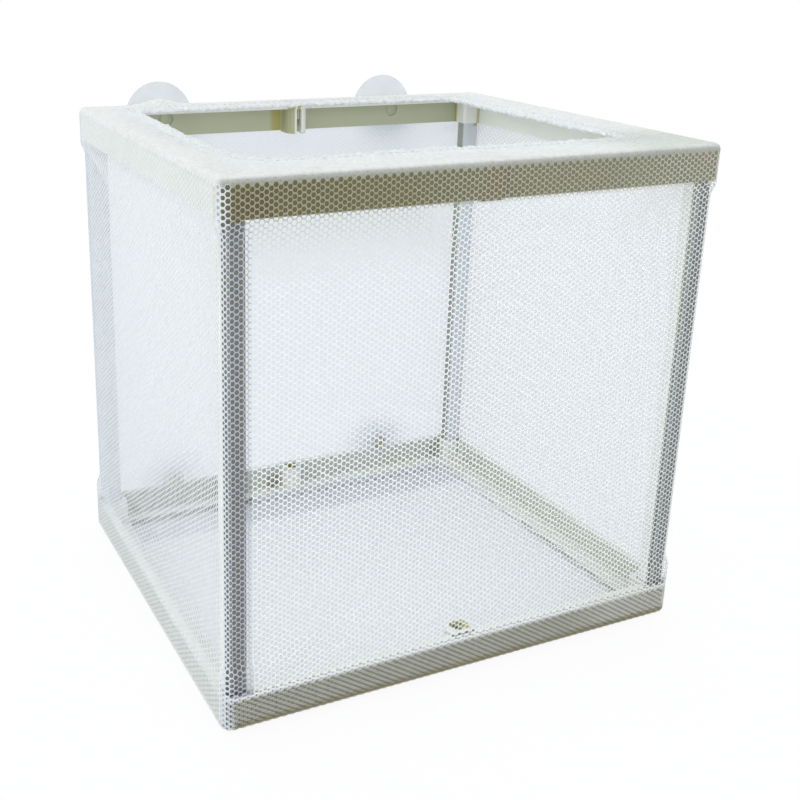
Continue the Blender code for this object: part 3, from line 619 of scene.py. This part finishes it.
def circle_steps(sideways, upward, sides):
    """Steps of length one to the corners of a circle, from two directions at each place."""
    angle = np.arange(sides) * math.tau / sides
    return (np.cos(angle)[None, :, None] * sideways[:, None, :]
            + np.sin(angle)[None, :, None] * upward[:, None, :])


def tube(name, middle, radius, sides):
    """A closed round tube along a ring of points."""
    count = len(middle)
    ahead = np.roll(middle, -1, axis=0) - np.roll(middle, 1, axis=0)
    ahead /= np.linalg.norm(ahead, axis=1)[:, None]
    upward = np.tile([0.0, 0.0, 1.0], (count, 1))
    sideways = np.cross(ahead, upward)
    sideways /= np.linalg.norm(sideways, axis=1)[:, None]
    upward = np.cross(sideways, ahead)
    points = middle[:, None, :] + radius * circle_steps(sideways, upward, sides)
    ring = np.arange(count)[:, None] * sides
    next_ring = np.roll(ring, -1, axis=0)
    side = np.arange(sides)[None, :]
    next_side = (side + 1) % sides
    corners = [ring + side, next_ring + side, next_ring + next_side, ring + next_side]
    faces = np.stack(corners, axis=2).reshape(-1, 4)
    return mesh_from_arrays(name, points.reshape(-1, 3), faces)


def stitches(name, starts, ends, outward, radius):
    """Short sewing stitches: each a tapered bead between two points."""
    ahead = ends - starts
    length = np.linalg.norm(ahead, axis=1)[:, None]
    ahead = ahead / length
    across = np.cross(ahead, outward)
    across /= np.linalg.norm(across, axis=1)[:, None]
    upward = np.cross(across, ahead)
    circle = circle_steps(across, upward, STITCH_SIDES)
    rings = []
    for share, girth in STITCH_STATIONS:
        middle = starts + ahead * length * share
        rings.append(middle[:, None, :] + radius * girth * circle)
    points = np.stack(rings, axis=1).reshape(-1, 3)
    base = np.arange(len(starts))[:, None, None] * len(STITCH_STATIONS) * STITCH_SIDES
    step = np.arange(len(STITCH_STATIONS) - 1)[None, :, None] * STITCH_SIDES
    side = np.arange(STITCH_SIDES)
    here = base + step + side
    beside = base + step + (side + 1) % STITCH_SIDES
    faces = np.stack([here, beside, beside + STITCH_SIDES, here + STITCH_SIDES], axis=3).reshape(-1, 4)
    return mesh_from_arrays(name, points, faces)


def new_material(name):
    """A material with its nodes ready, and its principled shader."""
    material = bpy.data.materials.new(name)
    material.use_nodes = True
    nodes, links = material.node_tree.nodes, material.node_tree.links
    return material, nodes, links, nodes["Principled BSDF"]


def set_material(thing, material):
    """Give an object one material."""
    thing.data.materials.clear()
    thing.data.materials.append(material)


def noise_node(nodes, links, scale, detail):
    """A noise texture on object coordinates."""
    place = nodes.new("ShaderNodeTexCoord")
    noise = nodes.new("ShaderNodeTexNoise")
    noise.inputs["Scale"].default_value = scale
    noise.inputs["Detail"].default_value = detail
    links.new(place.outputs["Object"], noise.inputs["Vector"])
    return noise


def add_relief(nodes, links, shader, noise, strength, distance):
    """Fine relief on a surface, as high as a noise texture says."""
    bump = nodes.new("ShaderNodeBump")
    bump.inputs["Strength"].default_value = strength
    bump.inputs["Distance"].default_value = distance
    links.new(noise.outputs["Fac"], bump.inputs["Height"])
    links.new(bump.outputs["Normal"], shader.inputs["Normal"])


def ramp_between(nodes, links, source, low, high, first, last):
    """A colour ramp from one colour to another between two values of a source."""
    ramp = nodes.new("ShaderNodeValToRGB")
    ramp.color_ramp.elements[0].position = low
    ramp.color_ramp.elements[1].position = high
    ramp.color_ramp.elements[0].color = (*first, 1.0)
    ramp.color_ramp.elements[1].color = (*last, 1.0)
    links.new(source, ramp.inputs["Fac"])
    return ramp


def scaled(colour, share):
    """A colour made lighter or darker."""
    return tuple(min(1.0, part * share) for part in colour)


def mixed(nodes, links, share, first, last, blend="MIX"):
    """A mix of two colours, each a colour or another node's output, by a share or a number."""
    mix = nodes.new("ShaderNodeMix")
    mix.data_type = "RGBA"
    mix.blend_type = blend
    if isinstance(share, float):
        mix.inputs["Factor"].default_value = share
    else:
        links.new(share, mix.inputs["Factor"])
    for name, colour in (("A", first), ("B", last)):
        if isinstance(colour, bpy.types.NodeSocket):
            links.new(colour, mix.inputs[name])
        else:
            mix.inputs[name].default_value = (*colour, 1.0)
    return mix.outputs["Result"]


def spread_node(nodes, links, source, low, high):
    """Nought to one between two values of a source."""
    spread = nodes.new("ShaderNodeMapRange")
    spread.interpolation_type = "SMOOTHSTEP"
    spread.inputs["From Min"].default_value = low
    spread.inputs["From Max"].default_value = high
    links.new(source, spread.inputs["Value"])
    return spread.outputs["Result"]


def vector_node(nodes, links, operation, first, second=None):
    """A vector worked out from another one, and from a fixed one if given."""
    node = nodes.new("ShaderNodeVectorMath")
    node.operation = operation
    links.new(first, node.inputs[0])
    if second is not None:
        node.inputs[1].default_value = second
    return node.outputs["Vector"]


def number_node(nodes, links, operation, *numbers):
    """A number worked out from others, each a number or another node's output."""
    node = nodes.new("ShaderNodeMath")
    node.operation = operation
    for number, socket in zip(numbers, node.inputs):
        if isinstance(number, float):
            socket.default_value = number
        else:
            links.new(number, socket)
    return node.outputs["Value"]


def with_painted_shade_boxes(nodes, links, tone, shade_boxes):
    """A colour with soft-edged boxes of other colours laid over it, mostly painted shade."""
    for colour, middle, half, soft in shade_boxes:
        place = nodes.new("ShaderNodeTexCoord")
        away = vector_node(nodes, links, "SUBTRACT", place.outputs["Object"], middle)
        size = vector_node(nodes, links, "ABSOLUTE", away)
        beyond = vector_node(nodes, links, "SUBTRACT", size, half)
        parts = nodes.new("ShaderNodeSeparateXYZ")
        links.new(beyond, parts.inputs["Vector"])
        most = number_node(nodes, links, "MAXIMUM", parts.outputs["X"], parts.outputs["Y"])
        most = number_node(nodes, links, "MAXIMUM", most, parts.outputs["Z"])
        share = spread_node(nodes, links, most, soft, -soft)
        tone = mixed(nodes, links, share, tone, colour)
    return tone


def plastic_material(name, look):
    """Moulded ivory plastic, with painted shade: darker and yellower on the upright faces of the front and
    rear rails, paler elsewhere.

    Its painted shade shifts across the frame and is darkest at the front rail's left end and base. Boxes of
    painted shade lie over it, with faint random mottling and a satin grain.
    """
    material, nodes, links, shader = new_material(name)
    place = nodes.new("ShaderNodeTexCoord")
    split = nodes.new("ShaderNodeSeparateXYZ")
    links.new(place.outputs["Object"], split.inputs["Vector"])
    # Painted shade on the upright faces: darker towards the front top rail's left end and towards the base,
    # with the rear faces lighter than the front
    across = spread_node(nodes, links, split.outputs["X"], -HALF_WIDTH, HALF_WIDTH)
    back = spread_node(nodes, links, split.outputs["Y"], -0.5 * HALF_DEPTH, 0.5 * HALF_DEPTH)
    raised = spread_node(nodes, links, split.outputs["Z"], BASE_HIGH.z, TOP_LOW.z)
    top = mixed(nodes, links, across, look.front_left, look.front_right)
    front = mixed(nodes, links, raised, look.low_shaded_colour, top)
    rear = mixed(nodes, links, raised, look.rear_low_shaded, look.rear_shaded_colour)
    upright = mixed(nodes, links, back, front, rear)
    # Faces turned to the front or back, near the frame's front and rear, take the painted shade; the rest
    # keep the pale colour
    facing = nodes.new("ShaderNodeSeparateXYZ")
    links.new(place.outputs["Normal"], facing.inputs["Vector"])
    size = number_node(nodes, links, "ABSOLUTE", facing.outputs["Y"])
    turned = spread_node(nodes, links, size, 0.35, 0.80)
    depth = number_node(nodes, links, "ABSOLUTE", split.outputs["Y"])
    inner, outer = (HALF_DEPTH - part for part in RAIL_FACE_DEPTHS)
    by_face = spread_node(nodes, links, depth, inner, outer)
    share = number_node(nodes, links, "MULTIPLY", turned, by_face)
    tone = mixed(nodes, links, share, look.pale_colour, upright)
    # Boxes of painted shade laid over the colour
    tone = with_painted_shade_boxes(nodes, links, tone, FRAME_PAINTED_SHADE_AND_PATCHES)
    mottle = noise_node(nodes, links, 55.0, 3.0)
    shade = ramp_between(nodes, links, mottle.outputs["Fac"], 0.35, 0.70,
                         (0.93, 0.93, 0.90), (1.0, 1.0, 1.0))
    tone = mixed(nodes, links, 1.0, tone, shade.outputs["Color"], "MULTIPLY")
    links.new(tone, shader.inputs["Base Color"])
    grain = noise_node(nodes, links, 2600.0, 2.0)
    rough = nodes.new("ShaderNodeMapRange")
    rough.inputs["To Min"].default_value = look.roughness - 0.06
    rough.inputs["To Max"].default_value = look.roughness + 0.08
    links.new(grain.outputs["Fac"], rough.inputs["Value"])
    links.new(rough.outputs["Result"], shader.inputs["Roughness"])
    add_relief(nodes, links, shader, grain, 0.08, 0.0002)
    shader.inputs["IOR"].default_value = 1.48
    return material


def thread_material(name, colour, see_through, uneven=1.0, shade_boxes=()):
    """Polyester thread: soft white fibre that lets some light through, uneven along its length, with any
    boxes of painted shade laid over its colour.
    """
    material, nodes, links, shader = new_material(name)
    fibre = noise_node(nodes, links, 900.0, 3.0)
    shade = ramp_between(nodes, links, fibre.outputs["Fac"], 0.30, 0.72,
                         scaled((1.0, 1.0, 1.0), 1.0 - 0.14 * uneven), (1.0, 1.0, 1.0))
    colour_with_shade_boxes = with_painted_shade_boxes(nodes, links, colour, shade_boxes)
    tone = mixed(nodes, links, 1.0, colour_with_shade_boxes, shade.outputs["Color"], "MULTIPLY")
    links.new(tone, shader.inputs["Base Color"])
    shader.inputs["Roughness"].default_value = 0.62
    shader.inputs["Sheen Weight"].default_value = 0.15
    glow = nodes.new("ShaderNodeBsdfTranslucent")
    links.new(tone, glow.inputs["Color"])
    blend = nodes.new("ShaderNodeMixShader")
    blend.inputs["Fac"].default_value = see_through
    links.new(shader.outputs["BSDF"], blend.inputs[1])
    links.new(glow.outputs["BSDF"], blend.inputs[2])
    links.new(blend.outputs["Shader"], nodes["Material Output"].inputs["Surface"])
    return material


def elastic_material(name, colour):
    """Covered elastic: white yarn wound round a rubber core."""
    material, nodes, links, shader = new_material(name)
    wound = noise_node(nodes, links, 1600.0, 2.0)
    tone = ramp_between(nodes, links, wound.outputs["Fac"], 0.35, 0.65, scaled(colour, 0.82), colour)
    links.new(tone.outputs["Color"], shader.inputs["Base Color"])
    shader.inputs["Roughness"].default_value = 0.8
    add_relief(nodes, links, shader, wound, 0.4, 0.0001)
    return material


def cup_material(name, colour, clearness, roughness):
    """Clear soft plastic, slightly milky, with faint flow marks."""
    material, nodes, links, shader = new_material(name)
    flow = noise_node(nodes, links, 140.0, 4.0)
    tone = ramp_between(nodes, links, flow.outputs["Fac"], 0.30, 0.70,
                        scaled(colour, 0.95), scaled(colour, 1.03))
    links.new(tone.outputs["Color"], shader.inputs["Base Color"])
    shader.inputs["Roughness"].default_value = roughness
    shader.inputs["IOR"].default_value = 1.12
    shader.inputs["Transmission Weight"].default_value = clearness
    add_relief(nodes, links, shader, flow, 0.10, 0.0003)
    return material


def near_share(nodes, links):
    """One close to the object, where its shadow falls, and nought further out."""
    place = nodes.new("ShaderNodeTexCoord")
    far = nodes.new("ShaderNodeVectorMath")
    far.operation = "LENGTH"
    links.new(place.outputs["Object"], far.inputs[0])
    near, gone = SHADOW_FADE
    return spread_node(nodes, links, far.outputs["Value"], gone, near)


def seen_share(nodes, links):
    """One for rays from the camera, a mirror or clear plastic, and nought for the rest."""
    path = nodes.new("ShaderNodeLightPath")
    seen = number_node(nodes, links, "MAXIMUM", path.outputs["Is Camera Ray"], path.outputs["Is Glossy Ray"])
    return number_node(nodes, links, "MAXIMUM", seen, path.outputs["Is Transmission Ray"])


def bag_shape():
    """The bag's shape from the scene's settings."""
    scene = bpy.context.scene
    return BagShape(scene.breeder_bag, scene.breeder_hem)


class BREEDER_OT_finish_frame(bpy.types.Operator):
    """Give the rings and the posts their ivory plastic, with its painted shade."""

    bl_idname = "breeder.finish_frame"
    bl_label = "Finish frame"

    def execute(self, context):
        look = context.scene.breeder_frame
        plastic = plastic_material("ivory_plastic", look)
        for node in BASE_RINGS + TOP_RINGS + POSTS:
            set_material(frame["nodes"][node], plastic)
        return {"FINISHED"}


class BREEDER_OT_build_walls(bpy.types.Operator):
    """Knit the four walls of the bag."""

    bl_idname = "breeder.build_walls"
    bl_label = "Build net walls"

    def execute(self, context):
        bag = context.scene.breeder_bag
        shape = bag_shape()
        threads = {
            "front": thread_material("front_net_thread", bag.colour, bag.front_through,
                                     uneven=0.6, shade_boxes=FRONT_NET_PAINTED_SHADE),
            "left": thread_material("left_net_thread", bag.colour, bag.see_through, uneven=0.6),
            "right": thread_material("right_net_thread", bag.right_shaded_colour, bag.see_through, uneven=0.6),
            "rear": thread_material("rear_net_thread", bag.rear_shaded_colour, bag.rear_through, uneven=0.2),
        }
        first = 0
        offset = shape.pitch / 2
        for side, count in (("front", FRONT_COLUMNS), ("right", SIDE_COLUMNS),
                            ("rear", FRONT_COLUMNS), ("left", SIDE_COLUMNS)):
            cells = cell_grid(np.arange(first, first + count), np.arange(WALL_ROWS))
            if side == "rear":
                cells = self.without_eyelets(cells, shape)
            growth = self.growths(cells, side, bag, shape)
            wall = lattice("net_wall_" + side, cells, bag, shape.pitch, shape.row_pitch, growth,
                           lambda along, up, lift: shape.point(along + offset, up, lift))
            set_material(wall, threads[side])
            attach(wall, FRAME_BODY)
            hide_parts("net_" + side)
            first += count
        return {"FINISHED"}

    @staticmethod
    def growths(cells, side, bag, shape):
        """How wide the threads lie in each cell: wider at the seams, the top edge and the left corner."""
        if side == "rear":
            return np.full(len(cells), bag.rear_growth)
        level = {"front": 1.0, "left": bag.left_growth, "right": bag.right_growth}[side]
        height = cell_heights(cells, shape.row_pitch) - shape.wall_start + LOW_BEND_Z
        low = smooth_step((RAIL_HEIGHT + RAIL_OVERLAP - height) / RAIL_FADE)
        seam = np.abs(height - RAIL_HEIGHT - SEAM_ABOVE) < shape.row_pitch / 2
        high = TOP_GROWTH * smooth_step((height - TOP_BEND_Z + TOP_OVERLAP) / TOP_FADE)
        growth = level + (bag.band_growth - level) * low
        if side == "front":
            growth += CORNER_GROWTH * smooth_step(1.0 - cells[:, 0] / CORNER_COLUMNS)
        return np.minimum(np.maximum(growth, seam * bag.seam_growth) + high, CLOSED_GROWTH)

    @staticmethod
    def without_eyelets(cells, shape):
        """Leave out the cells that the cups' necks pass through."""
        along = cells[:, 0] * shape.pitch + shape.pitch / 2
        up = cell_heights(cells, shape.row_pitch)
        place = shape.point(along, up, 0.0)
        keep = np.ones(len(cells), bool)
        for axis in CUP_AXES.values():
            keep &= np.hypot(place[:, 0] - axis.x, place[:, 2] - axis.z) > EYELET_CLEARANCE
        return cells[keep]


class BREEDER_OT_build_floor(bpy.types.Operator):
    """Knit the bottom of the bag."""

    bl_idname = "breeder.build_floor"
    bl_label = "Build net floor"

    def execute(self, context):
        bag = context.scene.breeder_bag
        shape = bag_shape()
        across = int(HALF_WIDTH / shape.pitch) + 1
        deep = int(HALF_DEPTH / shape.row_pitch) + 1
        cells = cell_grid(np.arange(-across, across + 1), np.arange(-deep, deep + 1))
        x = cells[:, 0] * shape.pitch
        y = cell_heights(cells, shape.row_pitch)
        inside = (np.abs(x) < HALF_WIDTH + FLOOR_EDGE) & (np.abs(y) < HALF_DEPTH + FLOOR_EDGE)
        growth = np.full(int(inside.sum()), bag.rear_growth)
        floor = lattice("net_floor_cloth", cells[inside], bag, shape.pitch, shape.row_pitch, growth,
                        lambda right, back, lift: np.column_stack(
                            [right, -back, np.full(len(right), FLOOR_Z) - lift]))
        # The floor threads take a darker, bluer copy of the white thread as painted shade
        thread = thread_material("floor_net_thread", bag.floor_colour, bag.front_through,
                                 uneven=0.2, shade_boxes=FLOOR_PAINTED_SHADOW)
        set_material(floor, thread)
        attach(floor, FRAME_BODY)
        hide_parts("net_floor")
        return {"FINISHED"}


class BREEDER_OT_build_band(bpy.types.Operator):
    """Turn the floor's edge up under the walls, as a second layer over the base ring."""

    bl_idname = "breeder.build_band"
    bl_label = "Build net band"

    def execute(self, context):
        bag = context.scene.breeder_bag
        shape = bag_shape()
        first, last = BAND_ROWS
        cells = cell_grid(np.arange(COLUMN_COUNT), np.arange(first, last))
        growth = np.full(len(cells), bag.band_growth)
        beside = shape.pitch
        above = shape.row_pitch / 2
        band = lattice("net_band", cells, bag, shape.pitch, shape.row_pitch, growth,
                       lambda along, up, lift: shape.point(along + beside, up + above, lift - BAND_DEPTH))
        thread = thread_material("band_net_thread", bag.colour, bag.front_through,
                                 uneven=0.6, shade_boxes=FRONT_NET_PAINTED_SHADE)
        set_material(band, thread)
        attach(band, FRAME_BODY)
        return {"FINISHED"}


class BREEDER_OT_build_hem(bpy.types.Operator):
    """Fold the bag's top edge in over the top ring, round the elastic, and sew it."""

    bl_idname = "breeder.build_hem"
    bl_label = "Build hem"

    def execute(self, context):
        bag = context.scene.breeder_bag
        hem = context.scene.breeder_hem
        shape = bag_shape()
        offset = shape.pitch / 2
        ends = shape.hem_end(shape.column_places)
        rows = np.arange(WALL_ROWS, int(ends.max() / shape.row_pitch) + 1)
        cells = cell_grid(np.arange(COLUMN_COUNT), rows)
        along = cells[:, 0] * shape.pitch + offset
        up = cell_heights(cells, shape.row_pitch)
        cells = cells[up < shape.hem_end(along)]
        growth = self.growths(cells, hem, shape)
        cloth = lattice("hem_cloth", cells, bag, shape.pitch, shape.row_pitch, growth,
                        lambda place, over, lift: shape.point(place + offset, over, lift))
        thread = thread_material("hem_thread", hem.colour, bag.see_through, shade_boxes=HEM_PAINTED_SHADE)
        set_material(cloth, thread)
        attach(cloth, FRAME_BODY)
        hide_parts("mouth_hem")
        sewing = self.sew(shape, hem)
        set_material(sewing, thread_material("sewing_thread", (0.93, 0.94, 0.95), 0.2))
        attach(sewing, FRAME_BODY)
        return {"FINISHED"}

    @staticmethod
    def growths(cells, hem, shape):
        """How wide the gathered threads lie in each cell: less so at the front edge and to its right."""
        place, _, _ = shape.plan(cells[:, 0] * shape.pitch, np.zeros(len(cells)))
        front = place[:, 1] < HEM_FRONT_Y
        right = smooth_step((place[:, 0] - HEM_RIGHT_X) / HEM_RIGHT_FADE) * front
        _, _, reach = shape.reach(cells[:, 0] * shape.pitch)
        up = cell_heights(cells, shape.row_pitch) - shape.top_start
        edge = (np.abs(up - reach) < shape.row_pitch) * front
        growth = hem.growth * (1.0 - HEM_OPEN_SHARE * np.maximum(right, edge))
        return np.where(up < HEM_BEND_WIDTH, HEM_BEND_GROWTH, growth)

    @staticmethod
    def sew(shape, hem):
        """One row of stitches round the mouth, through both layers of the hem."""
        count = int(shape.round / hem.stitch_pitch)
        middle = np.arange(count) * shape.round / count
        _, _, reach = shape.reach(middle)
        half = hem.stitch_length / 2
        edge = shape.top_start + reach - CHANNEL_WIDTH
        slant = STITCH_SLANT * stray(np.arange(count), np.zeros(count), 7)
        starts = shape.point(middle - half, edge - slant, STITCH_LIFT)
        ends = shape.point(middle + half, edge + slant, STITCH_LIFT)
        outward = np.tile([0.0, 0.0, 1.0], (count, 1))
        return stitches("hem_stitches", starts, ends, outward, hem.stitch_radius)


class BREEDER_OT_build_elastic(bpy.types.Operator):
    """Lay the elastic in the fold of the hem."""

    bl_idname = "breeder.build_elastic"
    bl_label = "Build elastic"

    def execute(self, context):
        hem = context.scene.breeder_hem
        shape = bag_shape()
        _, _, reach = shape.reach(shape.column_places)
        line = shape.point(shape.column_places, shape.top_start + reach, -FOLD_RADIUS)
        elastic = tube("mouth_elastic", line, hem.elastic_radius, ELASTIC_SIDES)
        set_material(elastic, elastic_material("covered_elastic", hem.elastic_colour))
        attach(elastic, FRAME_BODY)
        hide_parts("hem_elastic")
        return {"FINISHED"}


class BREEDER_OT_build_cups(bpy.types.Operator):
    """Turn the four suction cups."""

    bl_idname = "breeder.build_cups"
    bl_label = "Build suction cups"

    def execute(self, context):
        look = context.scene.breeder_cups
        plastic = cup_material("clear_cup_plastic", look.colour, look.clearness, look.roughness)
        # The stem's material carries the rail's painted shade
        stem = cup_material("cup_stem_plastic", look.stem_shaded_colour, look.stem_clearness, look.roughness)
        model = self.turn_one()
        set_material(model, plastic)
        model.data.materials.append(stem)
        for face in model.data.polygons:
            face.material_index = int(face.center.z < 0)
        lying = Matrix.Rotation(math.radians(-90), 4, "X")
        for node in CUP_NODES:
            cup = model.copy()
            cup.data = model.data.copy()
            cup.name = cup.data.name = node + "_soft"
            context.scene.collection.objects.link(cup)
            cup.data.transform(Matrix.Translation(CUP_AXES[node]) @ lying)
            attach(cup, node)
            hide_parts(node)
        bpy.data.objects.remove(model, do_unlink=True)
        return {"FINISHED"}

    @staticmethod
    def turn_one():
        """A cup standing on its head along Z: a disc drawn out and widened along its section."""
        bpy.ops.object.select_all(action="DESELECT")
        radius, height = CUP_SECTION[0]
        bpy.ops.mesh.primitive_circle_add(vertices=CUP_SIDES, radius=radius, fill_type="NGON",
                                          location=(0, 0, height))
        bpy.ops.object.transform_apply(location=True, rotation=True, scale=True)
        bpy.ops.object.mode_set(mode="EDIT")
        bpy.ops.mesh.select_all(action="SELECT")
        for wider, further in CUP_SECTION[1:]:
            bpy.ops.mesh.extrude_region_move(TRANSFORM_OT_translate={"value": (0, 0, further - height)})
            bpy.ops.transform.resize(value=(wider / radius, wider / radius, 1),
                                     center_override=(0, 0, further))
            radius, height = wider, further
        bpy.ops.mesh.select_all(action="SELECT")
        bpy.ops.mesh.normals_make_consistent(inside=False)
        bpy.ops.object.mode_set(mode="OBJECT")
        bpy.ops.object.shade_smooth_by_angle(angle=math.radians(50))
        return bpy.context.active_object


class BREEDER_OT_set_stage(bpy.types.Operator):
    """Set the camera, the lamps, the white surroundings and the floor."""

    bl_idname = "breeder.set_stage"
    bl_label = "Set stage"

    def execute(self, context):
        look = context.scene.breeder_stage
        self.set_camera(context.scene)
        for side, (place, size, colour) in LAMPS.items():
            self.add_lamp(side + "_lamp", place, size, getattr(look, side + "_power"), colour)
        self.add_floor(look)
        self.set_world(context.scene, look)
        context.scene.view_settings.view_transform = "Standard"
        return {"FINISHED"}

    @staticmethod
    def set_camera(scene):
        """The photograph's camera."""
        camera = bpy.data.objects.new("camera", bpy.data.cameras.new("camera"))
        scene.collection.objects.link(camera)
        turn = Matrix((CAMERA_ACROSS, CAMERA_UPWARD, CAMERA_BACKWARD)).transposed()
        camera.matrix_world = Matrix.Translation(CAMERA_PLACE) @ turn.to_4x4()
        camera.data.lens = CAMERA_LENS
        camera.data.sensor_width = CAMERA_SENSOR
        camera.data.shift_x, camera.data.shift_y = CAMERA_SHIFT
        camera.data.clip_start, camera.data.clip_end = CAMERA_CLIP
        scene.camera = camera

    @staticmethod
    def add_lamp(name, place, size, power, colour):
        """A square soft lamp that looks at the middle of the bag."""
        lamp = bpy.data.objects.new(name, bpy.data.lights.new(name, "AREA"))
        bpy.context.scene.collection.objects.link(lamp)
        lamp.data.size = size
        lamp.data.energy = power
        lamp.data.color = colour
        lamp.location = place
        aim = Vector((0, 0, HALF_WIDTH)) - Vector(place)
        lamp.rotation_euler = aim.to_track_quat("-Z", "Y").to_euler()

    @staticmethod
    def add_floor(look):
        """A wide white floor that keeps a faint shadow."""
        bpy.ops.object.select_all(action="DESELECT")
        bpy.ops.mesh.primitive_plane_add(size=FLOOR_SIZE, location=(0, 0, -FLOOR_DROP))
        floor = bpy.context.active_object
        floor.name = "floor"
        material, nodes, links, shader = new_material("white_floor")
        shader.inputs["Base Color"].default_value = (*look.floor_colour, 1.0)
        shader.inputs["Roughness"].default_value = 0.9
        shader.inputs["Specular IOR Level"].default_value = 0.0
        white = nodes.new("ShaderNodeEmission")
        white.inputs["Strength"].default_value = 1.0
        mix = nodes.new("ShaderNodeMixShader")
        plain = number_node(nodes, links, "MULTIPLY_ADD", near_share(nodes, links), -look.shadow, 1.0)
        share = number_node(nodes, links, "MULTIPLY", plain, seen_share(nodes, links))
        links.new(share, mix.inputs["Fac"])
        links.new(shader.outputs["BSDF"], mix.inputs[1])
        links.new(white.outputs["Emission"], mix.inputs[2])
        links.new(mix.outputs["Shader"], nodes["Material Output"].inputs["Surface"])
        set_material(floor, material)

    @staticmethod
    def set_world(scene, look):
        """White for what the camera sees, and a soft even light for the rest."""
        world = bpy.data.worlds.new("surroundings")
        scene.world = world
        world.use_nodes = True
        nodes, links = world.node_tree.nodes, world.node_tree.links
        soft = nodes["Background"]
        soft.inputs["Color"].default_value = (0.94, 0.97, 1.0, 1.0)
        soft.inputs["Strength"].default_value = look.surround
        white = nodes.new("ShaderNodeBackground")
        white.inputs["Color"].default_value = (1.0, 1.0, 1.0, 1.0)
        white.inputs["Strength"].default_value = 1.0
        mix = nodes.new("ShaderNodeMixShader")
        links.new(seen_share(nodes, links), mix.inputs["Fac"])
        links.new(soft.outputs["Background"], mix.inputs[1])
        links.new(white.outputs["Background"], mix.inputs[2])
        links.new(mix.outputs["Shader"], nodes["World Output"].inputs["Surface"])


class BREEDER_PT_panel(bpy.types.Panel):
    """Steps that dress the breeding net, in order."""

    bl_idname = "BREEDER_PT_panel"
    bl_label = "Breeding net"
    bl_space_type = "VIEW_3D"
    bl_region_type = "UI"
    bl_category = "Breeding net"

    def draw(self, context):
        for step in STEPS:
            self.layout.operator(step.bl_idname)
        for name in SETTINGS:
            group = getattr(context.scene, name)
            box = self.layout.box()
            for prop in group.bl_rna.properties:
                if prop.identifier not in ("rna_type", "name"):
                    box.prop(group, prop.identifier)


STEPS = (BREEDER_OT_finish_frame, BREEDER_OT_build_walls, BREEDER_OT_build_floor, BREEDER_OT_build_band,
         BREEDER_OT_build_hem, BREEDER_OT_build_elastic, BREEDER_OT_build_cups, BREEDER_OT_set_stage)
SETTINGS = {
    "breeder_bag": BreederBagSettings,
    "breeder_hem": BreederHemSettings,
    "breeder_frame": BreederFrameSettings,
    "breeder_cups": BreederCupSettings,
    "breeder_stage": BreederStageSettings,
}


def register():
    for name, group in SETTINGS.items():
        bpy.utils.register_class(group)
        setattr(bpy.types.Scene, name, bpy.props.PointerProperty(type=group))
    for step in STEPS:
        bpy.utils.register_class(step)
    bpy.utils.register_class(BREEDER_PT_panel)


def unregister():
    bpy.utils.unregister_class(BREEDER_PT_panel)
    for step in reversed(STEPS):
        bpy.utils.unregister_class(step)
    for name, group in SETTINGS.items():
        delattr(bpy.types.Scene, name)
        bpy.utils.unregister_class(group)


def main():
    """Dress the frame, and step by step."""
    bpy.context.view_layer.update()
    register()
    bpy.ops.breeder.finish_frame()
    bpy.ops.breeder.build_walls()
    bpy.ops.breeder.build_floor()
    bpy.ops.breeder.build_band()
    bpy.ops.breeder.build_hem()
    bpy.ops.breeder.build_elastic()
    bpy.ops.breeder.build_cups()
    bpy.ops.breeder.set_stage()
    bpy.context.view_layer.update()


if __name__ == "__main__":
    main()
